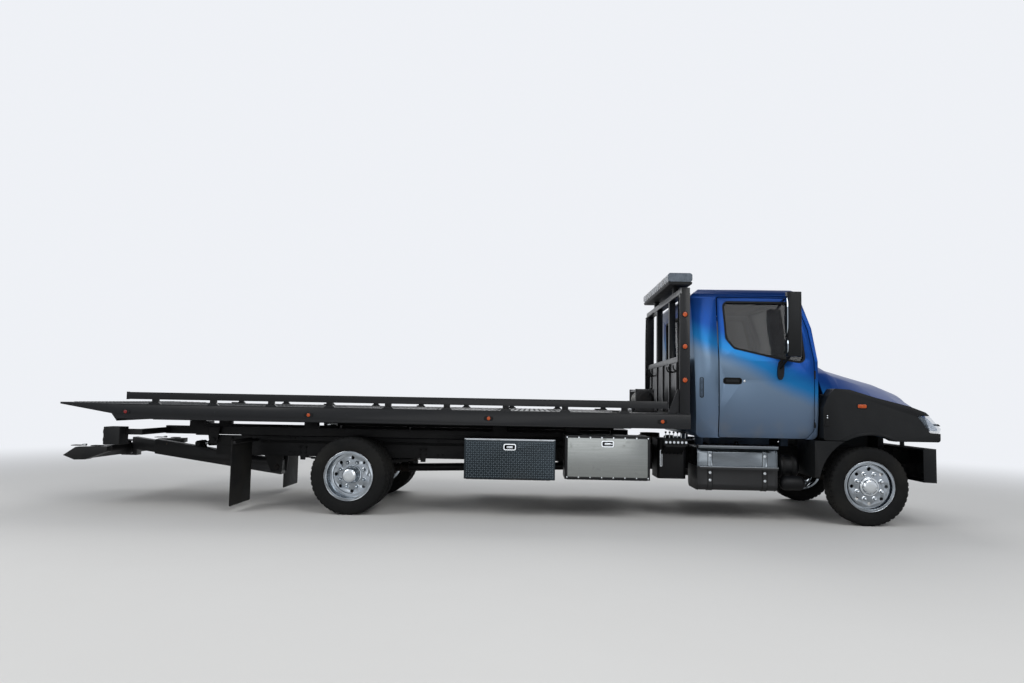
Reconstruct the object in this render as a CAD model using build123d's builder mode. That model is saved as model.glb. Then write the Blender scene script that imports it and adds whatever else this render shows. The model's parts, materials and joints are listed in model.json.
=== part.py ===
# Flatbed tow truck with a tilting, sliding bed and a wheel lift, in millimetres.
# +X is forward, +Y is the driver's left, +Z is up. The origin is on the ground, in the middle of the outline.
import os
from build123d import *

os.makedirs("parts", exist_ok=True)

# Driving dimensions of the whole vehicle
overall_length = 9510
wheelbase = 5512
front_overhang = 788
bed_width = 2500
deck_height = 1140
deck_thickness = 6

# Stations along the vehicle
nose_x = overall_length / 2
tail_x = -overall_length / 2
front_axle_x = nose_x - front_overhang
rear_axle_x = front_axle_x - wheelbase

# Wheels and tyres
tyre_radius = 412
hub_height = tyre_radius
rim_radius = 251
bead_radius = rim_radius + 0.3
lug_circle_radius = 137.5
front_wheel_y = 1040
outer_twin_y = 1060
inner_twin_y = 775
kingpin_y = 850

# Chassis rails
rail_y = 425
rail_depth = 225
rail_top = 785
rail_flange = 75
rail_wall = 8
rail_outer_y = rail_y + rail_flange / 2
rail_inner_y = rail_y - rail_flange / 2
rail_front_x = front_axle_x + 560
rail_rear_x = rear_axle_x - 1720

# Cab
cab_half_width = 1100
cab_wall = 50
cab_floor = 890
cab_rear_x = front_axle_x - 1796
cab_front_x = front_axle_x - 509
roof_top = 2556
door_rear_x = front_axle_x - 1562
door_front_x = front_axle_x - 544
door_gap = 8
door_rear_gap = 12
glass_thickness = 6

# Tilting sub-frame and bed
tilt_pivot_x = rear_axle_x - 1740
tilt_pivot_z = 735
frame_gap = 8
tilt_rail_bottom = rail_top + frame_gap
tilt_rail_top = 885
tilt_rail_front_x = rear_axle_x + 2960
tilt_rail_rear_x = rear_axle_x - 2330
bed_front_x = rear_axle_x + 3620
bed_rear_x = rear_axle_x - 2494
bed_tip_x = rear_axle_x - 3119
beam_bottom = 980
sill_bottom = 948
sill_y = 425
slide_axis_z = 936
tilt_eye_x = rear_axle_x + 700
tilt_eye_z = 842
tilt_cylinder_y = 250
tilt_base_x = rear_axle_x + 1900
tilt_base_z = 600

# Wheel lift, hung under the tail of the sub-frame
boom_pivot_x = rear_axle_x - 1120
boom_pivot_z = 395
boom_tip_x = rear_axle_x - 2640
boom_tip_z = 610

# Toolboxes between the axles: name, rear and front station, bottom and top
toolboxes = (
    ("rear", rear_axle_x + 1240, rear_axle_x + 2201, 412, 837),
    ("front", rear_axle_x + 2309, rear_axle_x + 3203, 430, 890),
)
box_inner_y = 740
box_outer_y = 1180

sides = (("left", 1), ("right", -1))


def slab(x_range, y_range, z_range, mode=Mode.ADD):
    """A straight block between the named limits."""
    with BuildSketch(Plane.XY.offset(z_range[0])) as outline:
        with Locations(((x_range[0] + x_range[1]) / 2, (y_range[0] + y_range[1]) / 2)):
            Rectangle(x_range[1] - x_range[0], y_range[1] - y_range[0])
    extrude(outline.sketch, amount=z_range[1] - z_range[0], mode=mode)


def side_plate(points, y_range, mode=Mode.ADD, inset=0, corner=0):
    """An outline of (x, z) points, with rounded corners if asked, given a thickness across the vehicle."""
    with BuildSketch(Plane.XZ.offset(-y_range[0])) as outline:
        with BuildLine():
            if corner:
                FilletPolyline(*points, radius=corner, close=True)
            else:
                Polyline(*points, close=True)
        make_face()
        if inset:
            offset(amount=-inset, kind=Kind.INTERSECTION)
    extrude(outline.sketch, amount=-(y_range[1] - y_range[0]), mode=mode)


def cross_bar(radius, center, length, mode=Mode.ADD):
    """A round bar across the vehicle, centred on (x, y, z)."""
    with Locations(center):
        Cylinder(radius, length, rotation=(90, 0, 0), mode=mode)


def spun(points, side, wheel_y, mode=Mode.ADD):
    """A profile of (outward distance, radius) points turned about a wheel's axle."""
    with BuildSketch(Plane.XY) as profile:
        with BuildLine():
            Polyline(*[(radius, wheel_y * side + outward * side) for outward, radius in points], close=True)
        make_face()
    revolve(profile.sketch, axis=Axis.Y, mode=mode)


def rod_between(start, end, radius, mode=Mode.ADD):
    """A round rod from one (x, y, z) point to another."""
    along = Vector(*end) - Vector(*start)
    with BuildSketch(Plane(origin=start, z_dir=along)) as section:
        Circle(radius)
    extrude(section.sketch, amount=along.length, mode=mode)


def finish(piece, name):
    """Label a finished piece and write it to its own file."""
    piece.label = name
    export_step(piece, f"parts/{name}.step")


def moved_to(part, x, z):
    """The same part with its axle line at (x, z)."""
    return part.moved(Location((x, 0, z)))


# Wheels and tyres. A wheel is a flanged rim round a pressed disc, with hand holes and eight lugs.
flange_radius = rim_radius + 13
tyre_profile = (
    (-94.7, bead_radius), (-94.7, flange_radius + 2), (-121, 345), (-96, tyre_radius), (96, tyre_radius),
    (121, 345), (94.7, flange_radius + 2), (94.7, bead_radius),
)
rim_profile = (
    (-95, rim_radius), (-95, flange_radius), (-101, flange_radius), (-101, rim_radius - 15),
    (101, rim_radius - 15), (101, flange_radius), (95, flange_radius), (95, rim_radius),
)
# the disc's section as (outward, radius), and how far out from the wheel's middle its flat part stands
front_disc = {
    "face": 72,
    "section": ((24, 237), (36, 237), (36, 217), (80, 217), (80, 30), (68, 30), (68, 205), (24, 205)),
}
rear_disc = {
    "face": -98,
    "section": ((-66, 237), (-54, 237), (-54, 205), (-90, 205), (-90, 30), (-102, 30), (-102, 217),
                (-66, 217)),
}


def tyre_at(side, wheel_y):
    with BuildPart() as tyre:
        spun(tyre_profile, side, wheel_y)
    return tyre.part


def wheel_at(side, wheel_y, disc, hub_reach, flip=1):
    """A rim, its disc with hand holes, the lugs and a hub that reaches out by hub_reach."""
    facing = side * flip
    middle = wheel_y * side * facing
    face = disc["face"]
    with BuildPart() as wheel:
        spun(rim_profile, facing, middle)
        spun(disc["section"], facing, middle)
        spun(((face - 30, 0), (face - 30, 100), (face + 12, 100), (face + 12, 74), (hub_reach - 12, 74),
              (hub_reach, 56), (hub_reach, 0)), facing, middle)
        if flip == 1:
            with BuildSketch(Plane.XZ.offset(-(wheel_y * side + facing * (face - 10)))) as hand_holes:
                with PolarLocations(180, 8):
                    Circle(18)
            extrude(hand_holes.sketch, amount=-facing * 20, mode=Mode.SUBTRACT)
            with BuildSketch(Plane.XZ.offset(-(wheel_y * side + facing * (face + 6)))) as lugs:
                with PolarLocations(lug_circle_radius, 8, start_angle=22.5):
                    RegularPolygon(17, 6)
            extrude(lugs.sketch, amount=-facing * 30)
    return wheel.part


for side_name, side in sides:
    finish(moved_to(tyre_at(side, front_wheel_y), front_axle_x, hub_height), f"front_tyre_{side_name}")
    finish(moved_to(wheel_at(side, front_wheel_y, front_disc, 125), front_axle_x, hub_height),
           f"front_wheel_{side_name}")
    with BuildPart() as rear_tyres:
        for twin_y in (outer_twin_y, inner_twin_y):
            spun(tyre_profile, side, twin_y)
    finish(moved_to(rear_tyres.part, rear_axle_x, hub_height), f"rear_tyres_{side_name}")
    with BuildPart() as rear_wheels:
        add(wheel_at(side, outer_twin_y, rear_disc, 70))
        add(wheel_at(side, inner_twin_y, rear_disc, -100, flip=-1))
        cross_bar(104, (0, side * (inner_twin_y + outer_twin_y) / 2, 0), 165)
        cross_bar(195, (0, side * (inner_twin_y + 5), 0), 180)
    finish(moved_to(rear_wheels.part, rear_axle_x, hub_height), f"rear_wheels_{side_name}")

# Chassis: two channel rails joined by cross members, with hanger plates for the springs and the tail pivots
cross_members = (front_axle_x + 430, front_axle_x - 1750, front_axle_x - 2900, rear_axle_x + 2010,
                 rear_axle_x + 900, rear_axle_x - 830)
with BuildPart() as chassis_frame:
    for side_name, side in sides:
        y_outer = sorted((side * rail_outer_y, side * rail_inner_y))
        slab((rail_rear_x, rail_front_x), y_outer, (rail_top - rail_depth, rail_top))
        web_clear = sorted((side * (rail_outer_y - rail_wall), side * (rail_inner_y - 5)))
        slab((rail_rear_x - 5, rail_front_x + 5), web_clear,
             (rail_top - rail_depth + rail_wall, rail_top - rail_wall), mode=Mode.SUBTRACT)
    for member_x in cross_members:
        slab((member_x - 35, member_x + 35), (rail_wall - rail_outer_y, rail_outer_y - rail_wall),
             (rail_top - 190, rail_top - 50))
    for side_name, side in sides:
        lug_y = sorted((side * rail_outer_y, side * (rail_outer_y + 20)))
        side_plate(((tilt_pivot_x + 210, rail_top - 10), (tilt_pivot_x - 45, rail_top - 10),
                    (tilt_pivot_x - 45, tilt_pivot_z - 50), (tilt_pivot_x + 210, tilt_pivot_z - 80)), lug_y)
        cross_bar(24, (tilt_pivot_x, side * (rail_y + 74), tilt_pivot_z), 74)
        for hanger_x in (front_axle_x + 545, front_axle_x - 620, rear_axle_x + 700, rear_axle_x - 700):
            hanger = ((hanger_x - 45, 680), (hanger_x + 45, 680), (hanger_x + 28, 520), (hanger_x - 28, 520))
            side_plate(hanger, sorted((side * rail_outer_y, side * (rail_outer_y + 12))))
        flap_x = rear_axle_x - 1235
        cross_bar(18, (flap_x, side * 820, 742), 740)
        slab((flap_x - 20, flap_x + 20), sorted((side * 438, side * 470)), (715, 770))
        for cheek_y in (tilt_cylinder_y - 62, tilt_cylinder_y + 52):
            slab((tilt_base_x - 42, rear_axle_x + 1980), sorted((side * cheek_y, side * (cheek_y + 10))),
                 (tilt_base_z - 42, rail_top - 60))
        cross_bar(22, (tilt_base_x, side * tilt_cylinder_y, tilt_base_z), 124)
        for box_name, box_rear, box_front, box_bottom, box_top in toolboxes:
            for bracket_x in (box_rear + 120, box_front - 160):
                bracket_y = sorted((side * rail_outer_y, side * box_inner_y))
                slab((bracket_x, bracket_x + 40), bracket_y, (600, 608))
                slab((bracket_x, bracket_x + 8), bracket_y, (600, 680))
finish(chassis_frame.part, "chassis_frame")

# Springs: stacked leaves, each shorter than the one above, clamped on the axles
leaf_thickness = 10
# station, half length, height of the axle pad, count of leaves, rise of the ends
springs = ((front_axle_x, 560, hub_height + 52, 4, 45), (rear_axle_x, 700, hub_height + 74, 5, 20))
with BuildPart() as leaf_springs:
    for station_x, half_length, pad_z, leaves, end_rise in springs:
        for side_name, side in sides:
            for leaf in range(leaves):
                half = half_length * (1 - 0.13 * leaf)
                top = pad_z + leaf_thickness * (leaves - leaf)
                rise = end_rise * (half / half_length) ** 2
                leaf_y = sorted((side * (rail_y - 38), side * (rail_y + 37)))
                with BuildSketch(Plane.XZ.offset(-leaf_y[0])):
                    with BuildLine():
                        lower = ThreePointArc((station_x - half, top - leaf_thickness + rise),
                                              (station_x, top - leaf_thickness),
                                              (station_x + half, top - leaf_thickness + rise))
                        upper = ThreePointArc((station_x - half, top + rise), (station_x, top),
                                              (station_x + half, top + rise))
                        Line(lower @ 0, upper @ 0)
                        Line(lower @ 1, upper @ 1)
                    make_face()
                extrude(amount=-(leaf_y[1] - leaf_y[0]))
            slab((station_x - 70, station_x + 70), sorted((side * (rail_y - 50), side * (rail_y + 50))),
                 (pad_z, pad_z + leaf_thickness * leaves + 14))
finish(leaf_springs.part, "leaf_springs")

# Front axle: a dropped beam with a boss at each end, and the knuckles that the wheels turn on
with BuildPart() as front_axle:
    slab((front_axle_x - 45, front_axle_x + 45), (-600, 600), (hub_height - 55, hub_height + 52))
    for side_name, side in sides:
        side_plate(((front_axle_x - 40, hub_height - 40), (front_axle_x + 40, hub_height - 40),
                    (front_axle_x + 40, hub_height + 40), (front_axle_x - 40, hub_height + 40)),
                   sorted((side * 560, side * (kingpin_y - 30))))
        with Locations((front_axle_x, side * kingpin_y, hub_height)):
            Cylinder(42, 90)
            Cylinder(15.3, 100, mode=Mode.SUBTRACT)
finish(front_axle.part, "front_axle")

for side_name, side in sides:
    with BuildPart() as knuckle:
        with Locations((front_axle_x, side * kingpin_y, hub_height)):
            Cylinder(15, 190)
        for cap_z in (hub_height - 65, hub_height + 65):
            with Locations((front_axle_x, side * kingpin_y, cap_z)):
                Cylinder(40, 28)
            slab((front_axle_x - 38, front_axle_x + 38), sorted((side * kingpin_y, side * (kingpin_y + 60))),
                 (cap_z - 14, cap_z + 14))
        slab((front_axle_x - 38, front_axle_x + 38),
             sorted((side * (kingpin_y + 50), side * (kingpin_y + 78))), (hub_height - 79, hub_height + 79))
        cross_bar(150, (front_axle_x, side * (kingpin_y + 88), hub_height), 22)
        cross_bar(34, (front_axle_x, side * (kingpin_y + 150.7), hub_height), 162)
        slab((front_axle_x - 260, front_axle_x - 30),
             sorted((side * (kingpin_y - 20), side * (kingpin_y + 20))), (hub_height - 77, hub_height - 55))
    finish(knuckle.part, f"steering_knuckle_{side_name}")

# Rear axle: two tubes on a round housing, turned about the vehicle's length with its pinion nose forward
with BuildPart() as rear_axle:
    cross_bar(62, (rear_axle_x, 0, hub_height), 1379.4)
    with BuildSketch(Plane.XZ) as housing:
        with BuildLine():
            Polyline((rear_axle_x - 125, hub_height), (rear_axle_x - 125, hub_height + 70),
                     (rear_axle_x - 72, hub_height + 165), (rear_axle_x + 72, hub_height + 165),
                     (rear_axle_x + 150, hub_height + 75), (rear_axle_x + 310, hub_height + 75),
                     (rear_axle_x + 310, hub_height), close=True)
        make_face()
    revolve(housing.sketch, axis=Axis((rear_axle_x, 0, hub_height), (1, 0, 0)))
    for side_name, side in sides:
        slab((rear_axle_x - 60, rear_axle_x + 60), sorted((side * 375, side * 475)),
             (hub_height, hub_height + 74))
finish(rear_axle.part, "rear_axle")

# Engine on its mounts with the gearbox behind it, the radiator ahead, and the driveshaft to the rear axle
shaft_rear_x = rear_axle_x + 310
shaft_front_x = front_axle_x - 1396
with BuildPart() as engine_block:
    slab((front_axle_x - 420, front_axle_x + 330), (-330, 330), (600, 1240))
    slab((front_axle_x - 100, front_axle_x + 20), (-rail_inner_y, rail_inner_y), (620, 700))
    slab((shaft_front_x, front_axle_x - 420), (-190, 190), (440, 760))
    slab((front_axle_x + 425, front_axle_x + 495), (-380, 380), (rail_top - 50, 1290))
finish(engine_block.part, "engine_block")

with BuildPart() as driveshaft:
    rod_between((shaft_rear_x - 4, 0, hub_height), (shaft_front_x + 4, 0, 520), 46)
    add(engine_block.part, mode=Mode.SUBTRACT)
    add(rear_axle.part, mode=Mode.SUBTRACT)
finish(driveshaft.part, "driveshaft")

# Cab: the side view and the end view cross to give the body, once for the outside and once for the inside
cab_side = (
    (cab_rear_x, cab_floor), (cab_rear_x - 47, 2436), (cab_rear_x + 108, roof_top), (cab_front_x - 220, 2530),
    (cab_front_x - 167, 2490), (cab_front_x - 42, 2085), (cab_front_x, 1730), (cab_front_x, cab_floor),
)
cab_corner = 60
roof_radius = 110
# half width at each height, from the floor to the roof
cab_end = ((1050, cab_floor), (1096, 1150), (cab_half_width, 1500), (cab_half_width - 6, 1720), (960, 2440),
           (880, 2520), (500, roof_top + 4))


def cab_end_face(inset, drop=0):
    """The cab's end view behind the cab, moved inward by the inset, or with its sides run on down by the drop."""
    (floor_half, floor_z), (next_half, next_z) = cab_end[:2]
    lean = (next_half - floor_half) / (next_z - floor_z)
    points = ((floor_half - lean * drop, floor_z - drop), *cab_end[1:])
    with BuildSketch(Plane.YZ.offset(cab_rear_x - 200)) as outline:
        with BuildLine():
            Polyline(*points, *[(-half, height) for half, height in reversed(points)], close=True)
        make_face()
        fillet(outline.vertices().sort_by(Axis.Y)[-6:], radius=roof_radius)
        if inset:
            offset(amount=-inset, kind=Kind.INTERSECTION)
    return outline.sketch


def cab_volume(inset):
    """The cab's outside, or that surface moved inward by the inset."""
    with BuildPart() as volume:
        with BuildSketch(Plane.XZ.offset(cab_half_width + 20)):
            with BuildLine():
                FilletPolyline(*cab_side, radius=cab_corner, close=True)
            make_face()
            if inset:
                offset(amount=-inset, kind=Kind.INTERSECTION)
        extrude(amount=-2 * (cab_half_width + 20))
        extrude(cab_end_face(inset), amount=cab_front_x - cab_rear_x + 400, mode=Mode.INTERSECT)
    return volume.part


def cab_skin(depth, thickness):
    """The layer of the cab's wall from this depth inward."""
    with BuildPart() as skin:
        add(cab_volume(depth))
        add(cab_volume(depth + thickness), mode=Mode.SUBTRACT)
    return skin.part


def side_wall(outline, side, depth, thickness, inset=0, corner=0):
    """A side-view outline cut from the layer of one side wall between two depths."""
    run = cab_front_x - cab_rear_x + 400
    with BuildPart() as wall:
        side_plate(outline, sorted((side * 700, side * 1200)), inset=inset, corner=corner)
        extrude(cab_end_face(depth, drop=300), amount=run, mode=Mode.INTERSECT)
        extrude(cab_end_face(depth + thickness, drop=400), amount=run, mode=Mode.SUBTRACT)
    return wall.part


door_corner = 30
window_corner = 60
door_outline = (
    (door_rear_x, cab_floor), (door_front_x - 75, cab_floor), (door_front_x, cab_floor + 86),
    (door_front_x, 1735), (door_front_x - 46, 2060), (door_front_x - 160, 2427), (door_rear_x, 2427),
)
# the doorway is wider than the door at the rear, where the door's edge swings past it
doorway_outline = ((door_rear_x - door_rear_gap + door_gap, cab_floor), *door_outline[1:-1],
                   (door_rear_x - door_rear_gap + door_gap, 2427))
rear_edge_strip = ((door_rear_x - 20, cab_floor - 20), (door_rear_x + 24, cab_floor - 20),
                   (door_rear_x + 24, 2460), (door_rear_x - 20, 2460))
window_outline = (
    (door_rear_x + 67, 2372), (door_rear_x + 88, 1958), (door_rear_x + 169, 1854), (door_rear_x + 690, 1734),
    (door_front_x - 96, 1702), (door_front_x - 118, 2060), (door_front_x - 212, 2372),
)
windscreen_outline = ((-870, 1740), (870, 1740), (800, 2425), (-800, 2425))
rear_window_outline = ((-620, 1760), (620, 1760), (590, 2260), (-590, 2260))


def end_window(points, x_range, mode):
    """An outline of (y, z) points cut along the vehicle."""
    with BuildSketch(Plane.YZ.offset(x_range[0])) as outline:
        with BuildLine():
            FilletPolyline(*points, radius=60, close=True)
        make_face()
    extrude(outline.sketch, amount=x_range[1] - x_range[0], mode=mode)


with BuildPart() as cab_shell:
    add(cab_skin(0, cab_wall))
    for side_name, side in sides:
        doorway = side_wall(doorway_outline, side, -5, 5 + cab_wall + door_gap, corner=door_corner)
        add(doorway, mode=Mode.SUBTRACT)
    end_window(windscreen_outline, (cab_front_x - 330, cab_front_x + 100), Mode.SUBTRACT)
    end_window(rear_window_outline, (cab_rear_x - 200, cab_rear_x + 150), Mode.SUBTRACT)
    side_plate(((cab_front_x - 40, 1560), (cab_front_x + 78, 1560), (cab_front_x + 78, 1700),
                (cab_front_x - 30, 1734)), (-800, 800))
    slab((cab_rear_x + 300, cab_front_x - 300), (-360, 360), (rail_top + 6, cab_floor + 20))
    for side_name, side in sides:
        for mount_x in (cab_rear_x + 120, cab_front_x - 200):
            slab((mount_x, mount_x + 80), sorted((side * rail_inner_y, side * rail_outer_y)),
                 (rail_top, cab_floor + 5))
finish(cab_shell.part, "cab_shell")

with BuildPart() as windscreen:
    add(cab_skin(18, glass_thickness))
    end_window(windscreen_outline, (cab_front_x - 330, cab_front_x + 100), Mode.INTERSECT)
with BuildPart() as rear_window:
    add(cab_skin(18, glass_thickness))
    end_window(rear_window_outline, (cab_rear_x - 200, cab_rear_x + 150), Mode.INTERSECT)
with BuildPart() as cab_glass:
    add(windscreen.part)
    add(rear_window.part)
finish(cab_glass.part, "cab_glass")

# The door's outer handle: a pocket, and a pull that bridges it, drawn in plan as (along, outward)
pull_x = door_rear_x + 50
pull_outline = ((pull_x, 1470), (pull_x + 190, 1470), (pull_x + 190, 1530), (pull_x, 1530))
pull_section = ((8, -20), (8, -12), (26, 7), (164, 7), (182, -12), (182, -20), (170, -20), (158, -5),
                (32, -5), (20, -20))
for side_name, side in sides:
    outward = sorted((side * 700, side * 1200))
    with BuildPart() as door:
        add(side_wall(door_outline, side, 0, cab_wall, inset=door_gap, corner=door_corner))
        add(side_wall(rear_edge_strip, side, 20, cab_wall), mode=Mode.SUBTRACT)
        side_plate(window_outline, outward, mode=Mode.SUBTRACT, corner=window_corner)
        side_plate(pull_outline, sorted((side * (cab_half_width - 14), side * 1200)), mode=Mode.SUBTRACT,
                   corner=24)
        pull_points = [(pull_x + reach, side * (cab_half_width + out)) for reach, out in pull_section]
        with BuildSketch(Plane.XY.offset(1487)) as pull:
            with BuildLine():
                Polyline(*pull_points, close=True)
            make_face()
        extrude(pull.sketch, amount=26)
    finish(door.part, f"door_{side_name}")
    with BuildPart() as door_glass:
        add(side_wall(window_outline, side, 22, glass_thickness, corner=window_corner))
    finish(door_glass.part, f"door_glass_{side_name}")
    with BuildPart() as mirror:
        slab((front_axle_x - 902, front_axle_x - 752), sorted((side * 1235, side * 1345)), (1760, 2440))
        fillet(mirror.edges().filter_by(Axis.Z), radius=32)
        slab((front_axle_x - 930, front_axle_x - 894), sorted((side * 1096, side * 1112)), (1545, 1705))
        rod_between((front_axle_x - 912, side * 1105, 1640), (front_axle_x - 840, side * 1250, 1790), 14)
        rod_between((front_axle_x - 827, side * 962, 2400), (front_axle_x - 827, side * 1240, 2400), 12)
        add(door.part, mode=Mode.SUBTRACT)
    finish(mirror.part, f"mirror_{side_name}")

# Cab interior: two seats, and a dashboard with the steering wheel
seat_x = cab_rear_x + 430
with BuildPart() as seats:
    for seat_y in (-480, 480):
        slab((seat_x - 130, seat_x + 380), (seat_y - 250, seat_y + 250), (1230, 1370))
        slab((seat_x - 60, seat_x + 280), (seat_y - 170, seat_y + 170), (cab_floor + cab_wall, 1230))
        side_plate(((seat_x - 130, 1370), (seat_x, 1370), (seat_x - 130, 2000), (seat_x - 230, 2000)),
                   (seat_y - 240, seat_y + 240))
        side_plate(((seat_x - 215, 2000), (seat_x - 140, 2000), (seat_x - 165, 2180), (seat_x - 235, 2180)),
                   (seat_y - 130, seat_y + 130))
finish(seats.part, "seats")

with BuildPart() as steering_rim:
    with BuildSketch(Plane.XZ):
        with Locations((215, 0)):
            RegularPolygon(15, 6)
    revolve(axis=Axis.Z)
with BuildPart() as dashboard:
    side_plate(((cab_front_x - cab_wall, 1150), (cab_front_x - cab_wall, 1640), (cab_front_x - 190, 1660),
                (cab_front_x - 380, 1560), (cab_front_x - 330, 1280), (cab_front_x - 180, 1150)), (-980, 980))
    wheel_plane = Plane(origin=(cab_front_x - 560, 480, 1590), z_dir=(-0.8, 0, 0.6))
    add(steering_rim.part.moved(wheel_plane.location))
    with Locations(wheel_plane):
        Cylinder(50, 30)
    with BuildSketch(wheel_plane):
        with PolarLocations(105, 3, start_angle=90):
            Rectangle(215, 34)
    extrude(amount=9, both=True)
    rod_between((cab_front_x - 560, 480, 1590), (cab_front_x - 330, 480, 1417), 34)
finish(dashboard.part, "dashboard")

# Hood: a shell lofted from the cowl to the nose, with two wheel-arch flares that tilt with it
hood_rear_x = cab_front_x + 86
hood_front_x = front_axle_x + 715
hood_pivot_x = front_axle_x + 670
hood_pivot_z = 880
hood_wall = 12
fender_bottom = 890
fender_outer_y = 1190
arch_radius = 540
# station, half width of the flank, height of the flank's top, half width and height of the shoulder, and the
# crown's height
hood_sections = (
    (hood_rear_x, 1075, 1300, 800, 1600, 1750),
    (front_axle_x - 300, 1075, 1330, 790, 1600, 1757),
    (front_axle_x - 220, 1075, 1330, 780, 1570, 1699),
    (front_axle_x + 110, 1070, 1300, 700, 1480, 1608),
    (front_axle_x + 410, 1040, 1240, 620, 1400, 1530),
    (front_axle_x + 660, 980, 1170, 540, 1310, 1434),
    (hood_front_x, 950, 1100, 500, 1180, 1310),
)


def hood_volume(inset, overrun):
    """The hood's outside, or that surface moved inward and run on past the rear and the bottom."""
    with BuildPart() as volume:
        for station_x, flank_half, flank_z, shoulder_half, shoulder_z, crown_z in hood_sections:
            shift = {hood_rear_x: -overrun, hood_front_x: -inset}.get(station_x, 0)
            with BuildSketch(Plane.YZ.offset(station_x + shift)):
                with BuildLine():
                    crest = ThreePointArc((inset - shoulder_half, shoulder_z - inset), (0, crown_z - inset),
                                          (shoulder_half - inset, shoulder_z - inset))
                    Polyline(crest @ 0, (inset - flank_half, flank_z - inset),
                             (inset - flank_half, fender_bottom - overrun),
                             (flank_half - inset, fender_bottom - overrun),
                             (flank_half - inset, flank_z - inset),
                             crest @ 1)
                make_face()
        loft(ruled=True)
    return volume.part


# The flares' side view: the blue hood's lower edge above, the wheel arch below
fender_outline = (
    (cab_front_x + 18, fender_bottom), (cab_front_x + 18, 1230), (front_axle_x - 439, 1359),
    (front_axle_x - 367, 1436), (front_axle_x - 216, 1428), (front_axle_x + 55, 1347),
    (front_axle_x + 405, 1262), (front_axle_x + 574, 1200), (front_axle_x + 722, 1060),
    (front_axle_x + 722, fender_bottom),
)
lamp_outline = ((front_axle_x + 470, 1170), (front_axle_x + 628, 1162), (front_axle_x + 745, 1030),
                (front_axle_x + 722, 975), (front_axle_x + 614, 987))
fender_corner = 30
lamp_corner = 16
grille_opening = ((hood_front_x - 30, hood_front_x + 30), (-560, 560), (930, 1130))


def arched_plate(points, y_range, inset, mode=Mode.ADD, corner=0, lip=0):
    """An outline with the wheel arch cut from it and moved inward by the inset, or only the arch's lip."""
    with BuildSketch(Plane.XZ.offset(-y_range[0])) as outline:
        with BuildLine():
            if corner:
                FilletPolyline(*points, radius=corner, close=True)
            else:
                Polyline(*points, close=True)
        make_face()
        if inset:
            offset(amount=-inset, kind=Kind.INTERSECTION)
        with Locations((front_axle_x, hub_height)):
            Circle(arch_radius + inset, mode=Mode.SUBTRACT)
            if lip:
                Circle(arch_radius + lip, mode=Mode.INTERSECT)
    extrude(outline.sketch, amount=-(y_range[1] - y_range[0]), mode=mode)


with BuildPart() as hood:
    add(hood_volume(0, 0))
    add(hood_volume(hood_wall, 40), mode=Mode.SUBTRACT)
    slab(*grille_opening, mode=Mode.SUBTRACT)
    cross_bar(arch_radius, (front_axle_x, 0, hub_height), 2400, mode=Mode.SUBTRACT)
    for side_name, side in sides:
        side_plate(lamp_outline, sorted((side * 760, side * 1200)), mode=Mode.SUBTRACT, corner=lamp_corner)
        slab((hood_pivot_x - 25, hood_front_x - 5), sorted((side * 480, side * 492)),
             (hood_pivot_z - 22, hood_pivot_z + 45))
        cross_bar(14.4, (hood_pivot_x, side * 486, hood_pivot_z), 20, mode=Mode.SUBTRACT)
finish(hood.part, "hood")

with BuildPart() as fenders:
    for side_name, side in sides:
        arched_plate(fender_outline, sorted((side * 900, side * fender_outer_y)), 0, corner=fender_corner)
        arched_plate(fender_outline, sorted((side * 890, side * (fender_outer_y - 10))), 10,
                     mode=Mode.SUBTRACT, corner=fender_corner)
        arched_plate(fender_outline, sorted((side * (fender_outer_y - 2), side * (fender_outer_y + 10))), 0,
                     corner=fender_corner, lip=30)
        side_plate(lamp_outline, sorted((side * 760, side * 1210)), mode=Mode.SUBTRACT, corner=lamp_corner)
    add(hood_volume(0, 0), mode=Mode.SUBTRACT)
finish(fenders.part, "fenders")

with BuildPart() as grille:
    slab((hood_front_x, hood_front_x + 20), (-600, 600), (900, 1160))
    slab((hood_front_x - 5, hood_front_x + 25), (-560, 560), (930, 1130), mode=Mode.SUBTRACT)
    for bar in range(4):
        bar_z = 958 + 44 * bar
        louvre = ((hood_front_x + 2, bar_z + 14), (hood_front_x + 18, bar_z), (hood_front_x + 18, bar_z + 8),
                  (hood_front_x + 2, bar_z + 22))
        side_plate(louvre, (-565, 565))
finish(grille.part, "grille")

with BuildPart() as headlamps:
    for side_name, side in sides:
        side_plate(lamp_outline, sorted((side * 760, side * (fender_outer_y + 4))), corner=lamp_corner)
finish(headlamps.part, "headlamps")

guard_outline = ((cab_front_x - 75, 500), (cab_front_x - 75, fender_bottom - 8),
                 (front_axle_x - 240, fender_bottom - 8), (front_axle_x - 240, 500))
with BuildPart() as splash_guards:
    for side_name, side in sides:
        arched_plate(guard_outline, sorted((side * 640, side * fender_outer_y)), 0)
        arched_plate(guard_outline, sorted((side * 650, side * (fender_outer_y - 10))), 10,
                     mode=Mode.SUBTRACT)
        slab((cab_front_x - 75, cab_front_x - 45), sorted((side * (rail_outer_y + 12), side * 641)),
             (600, 650))
finish(splash_guards.part, "splash_guards")

# Bumper: a folded plate, bowed in plan, whose ends wrap back beside the wheels
bumper_wall = 13
bumper_half_width = 1180
bumper_sweep = 110
bumper_outline = (
    (front_axle_x + 545, 470), (front_axle_x + 545, 812), (front_axle_x + 676, 820), (nose_x, 779),
    (front_axle_x + 750, 462),
)
bumper_inside = (
    (front_axle_x + 400, 482), (front_axle_x + 400, 800), (front_axle_x + 676, 808),
    (nose_x - bumper_wall, 770), (front_axle_x + 750 - bumper_wall, 474),
)


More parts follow.
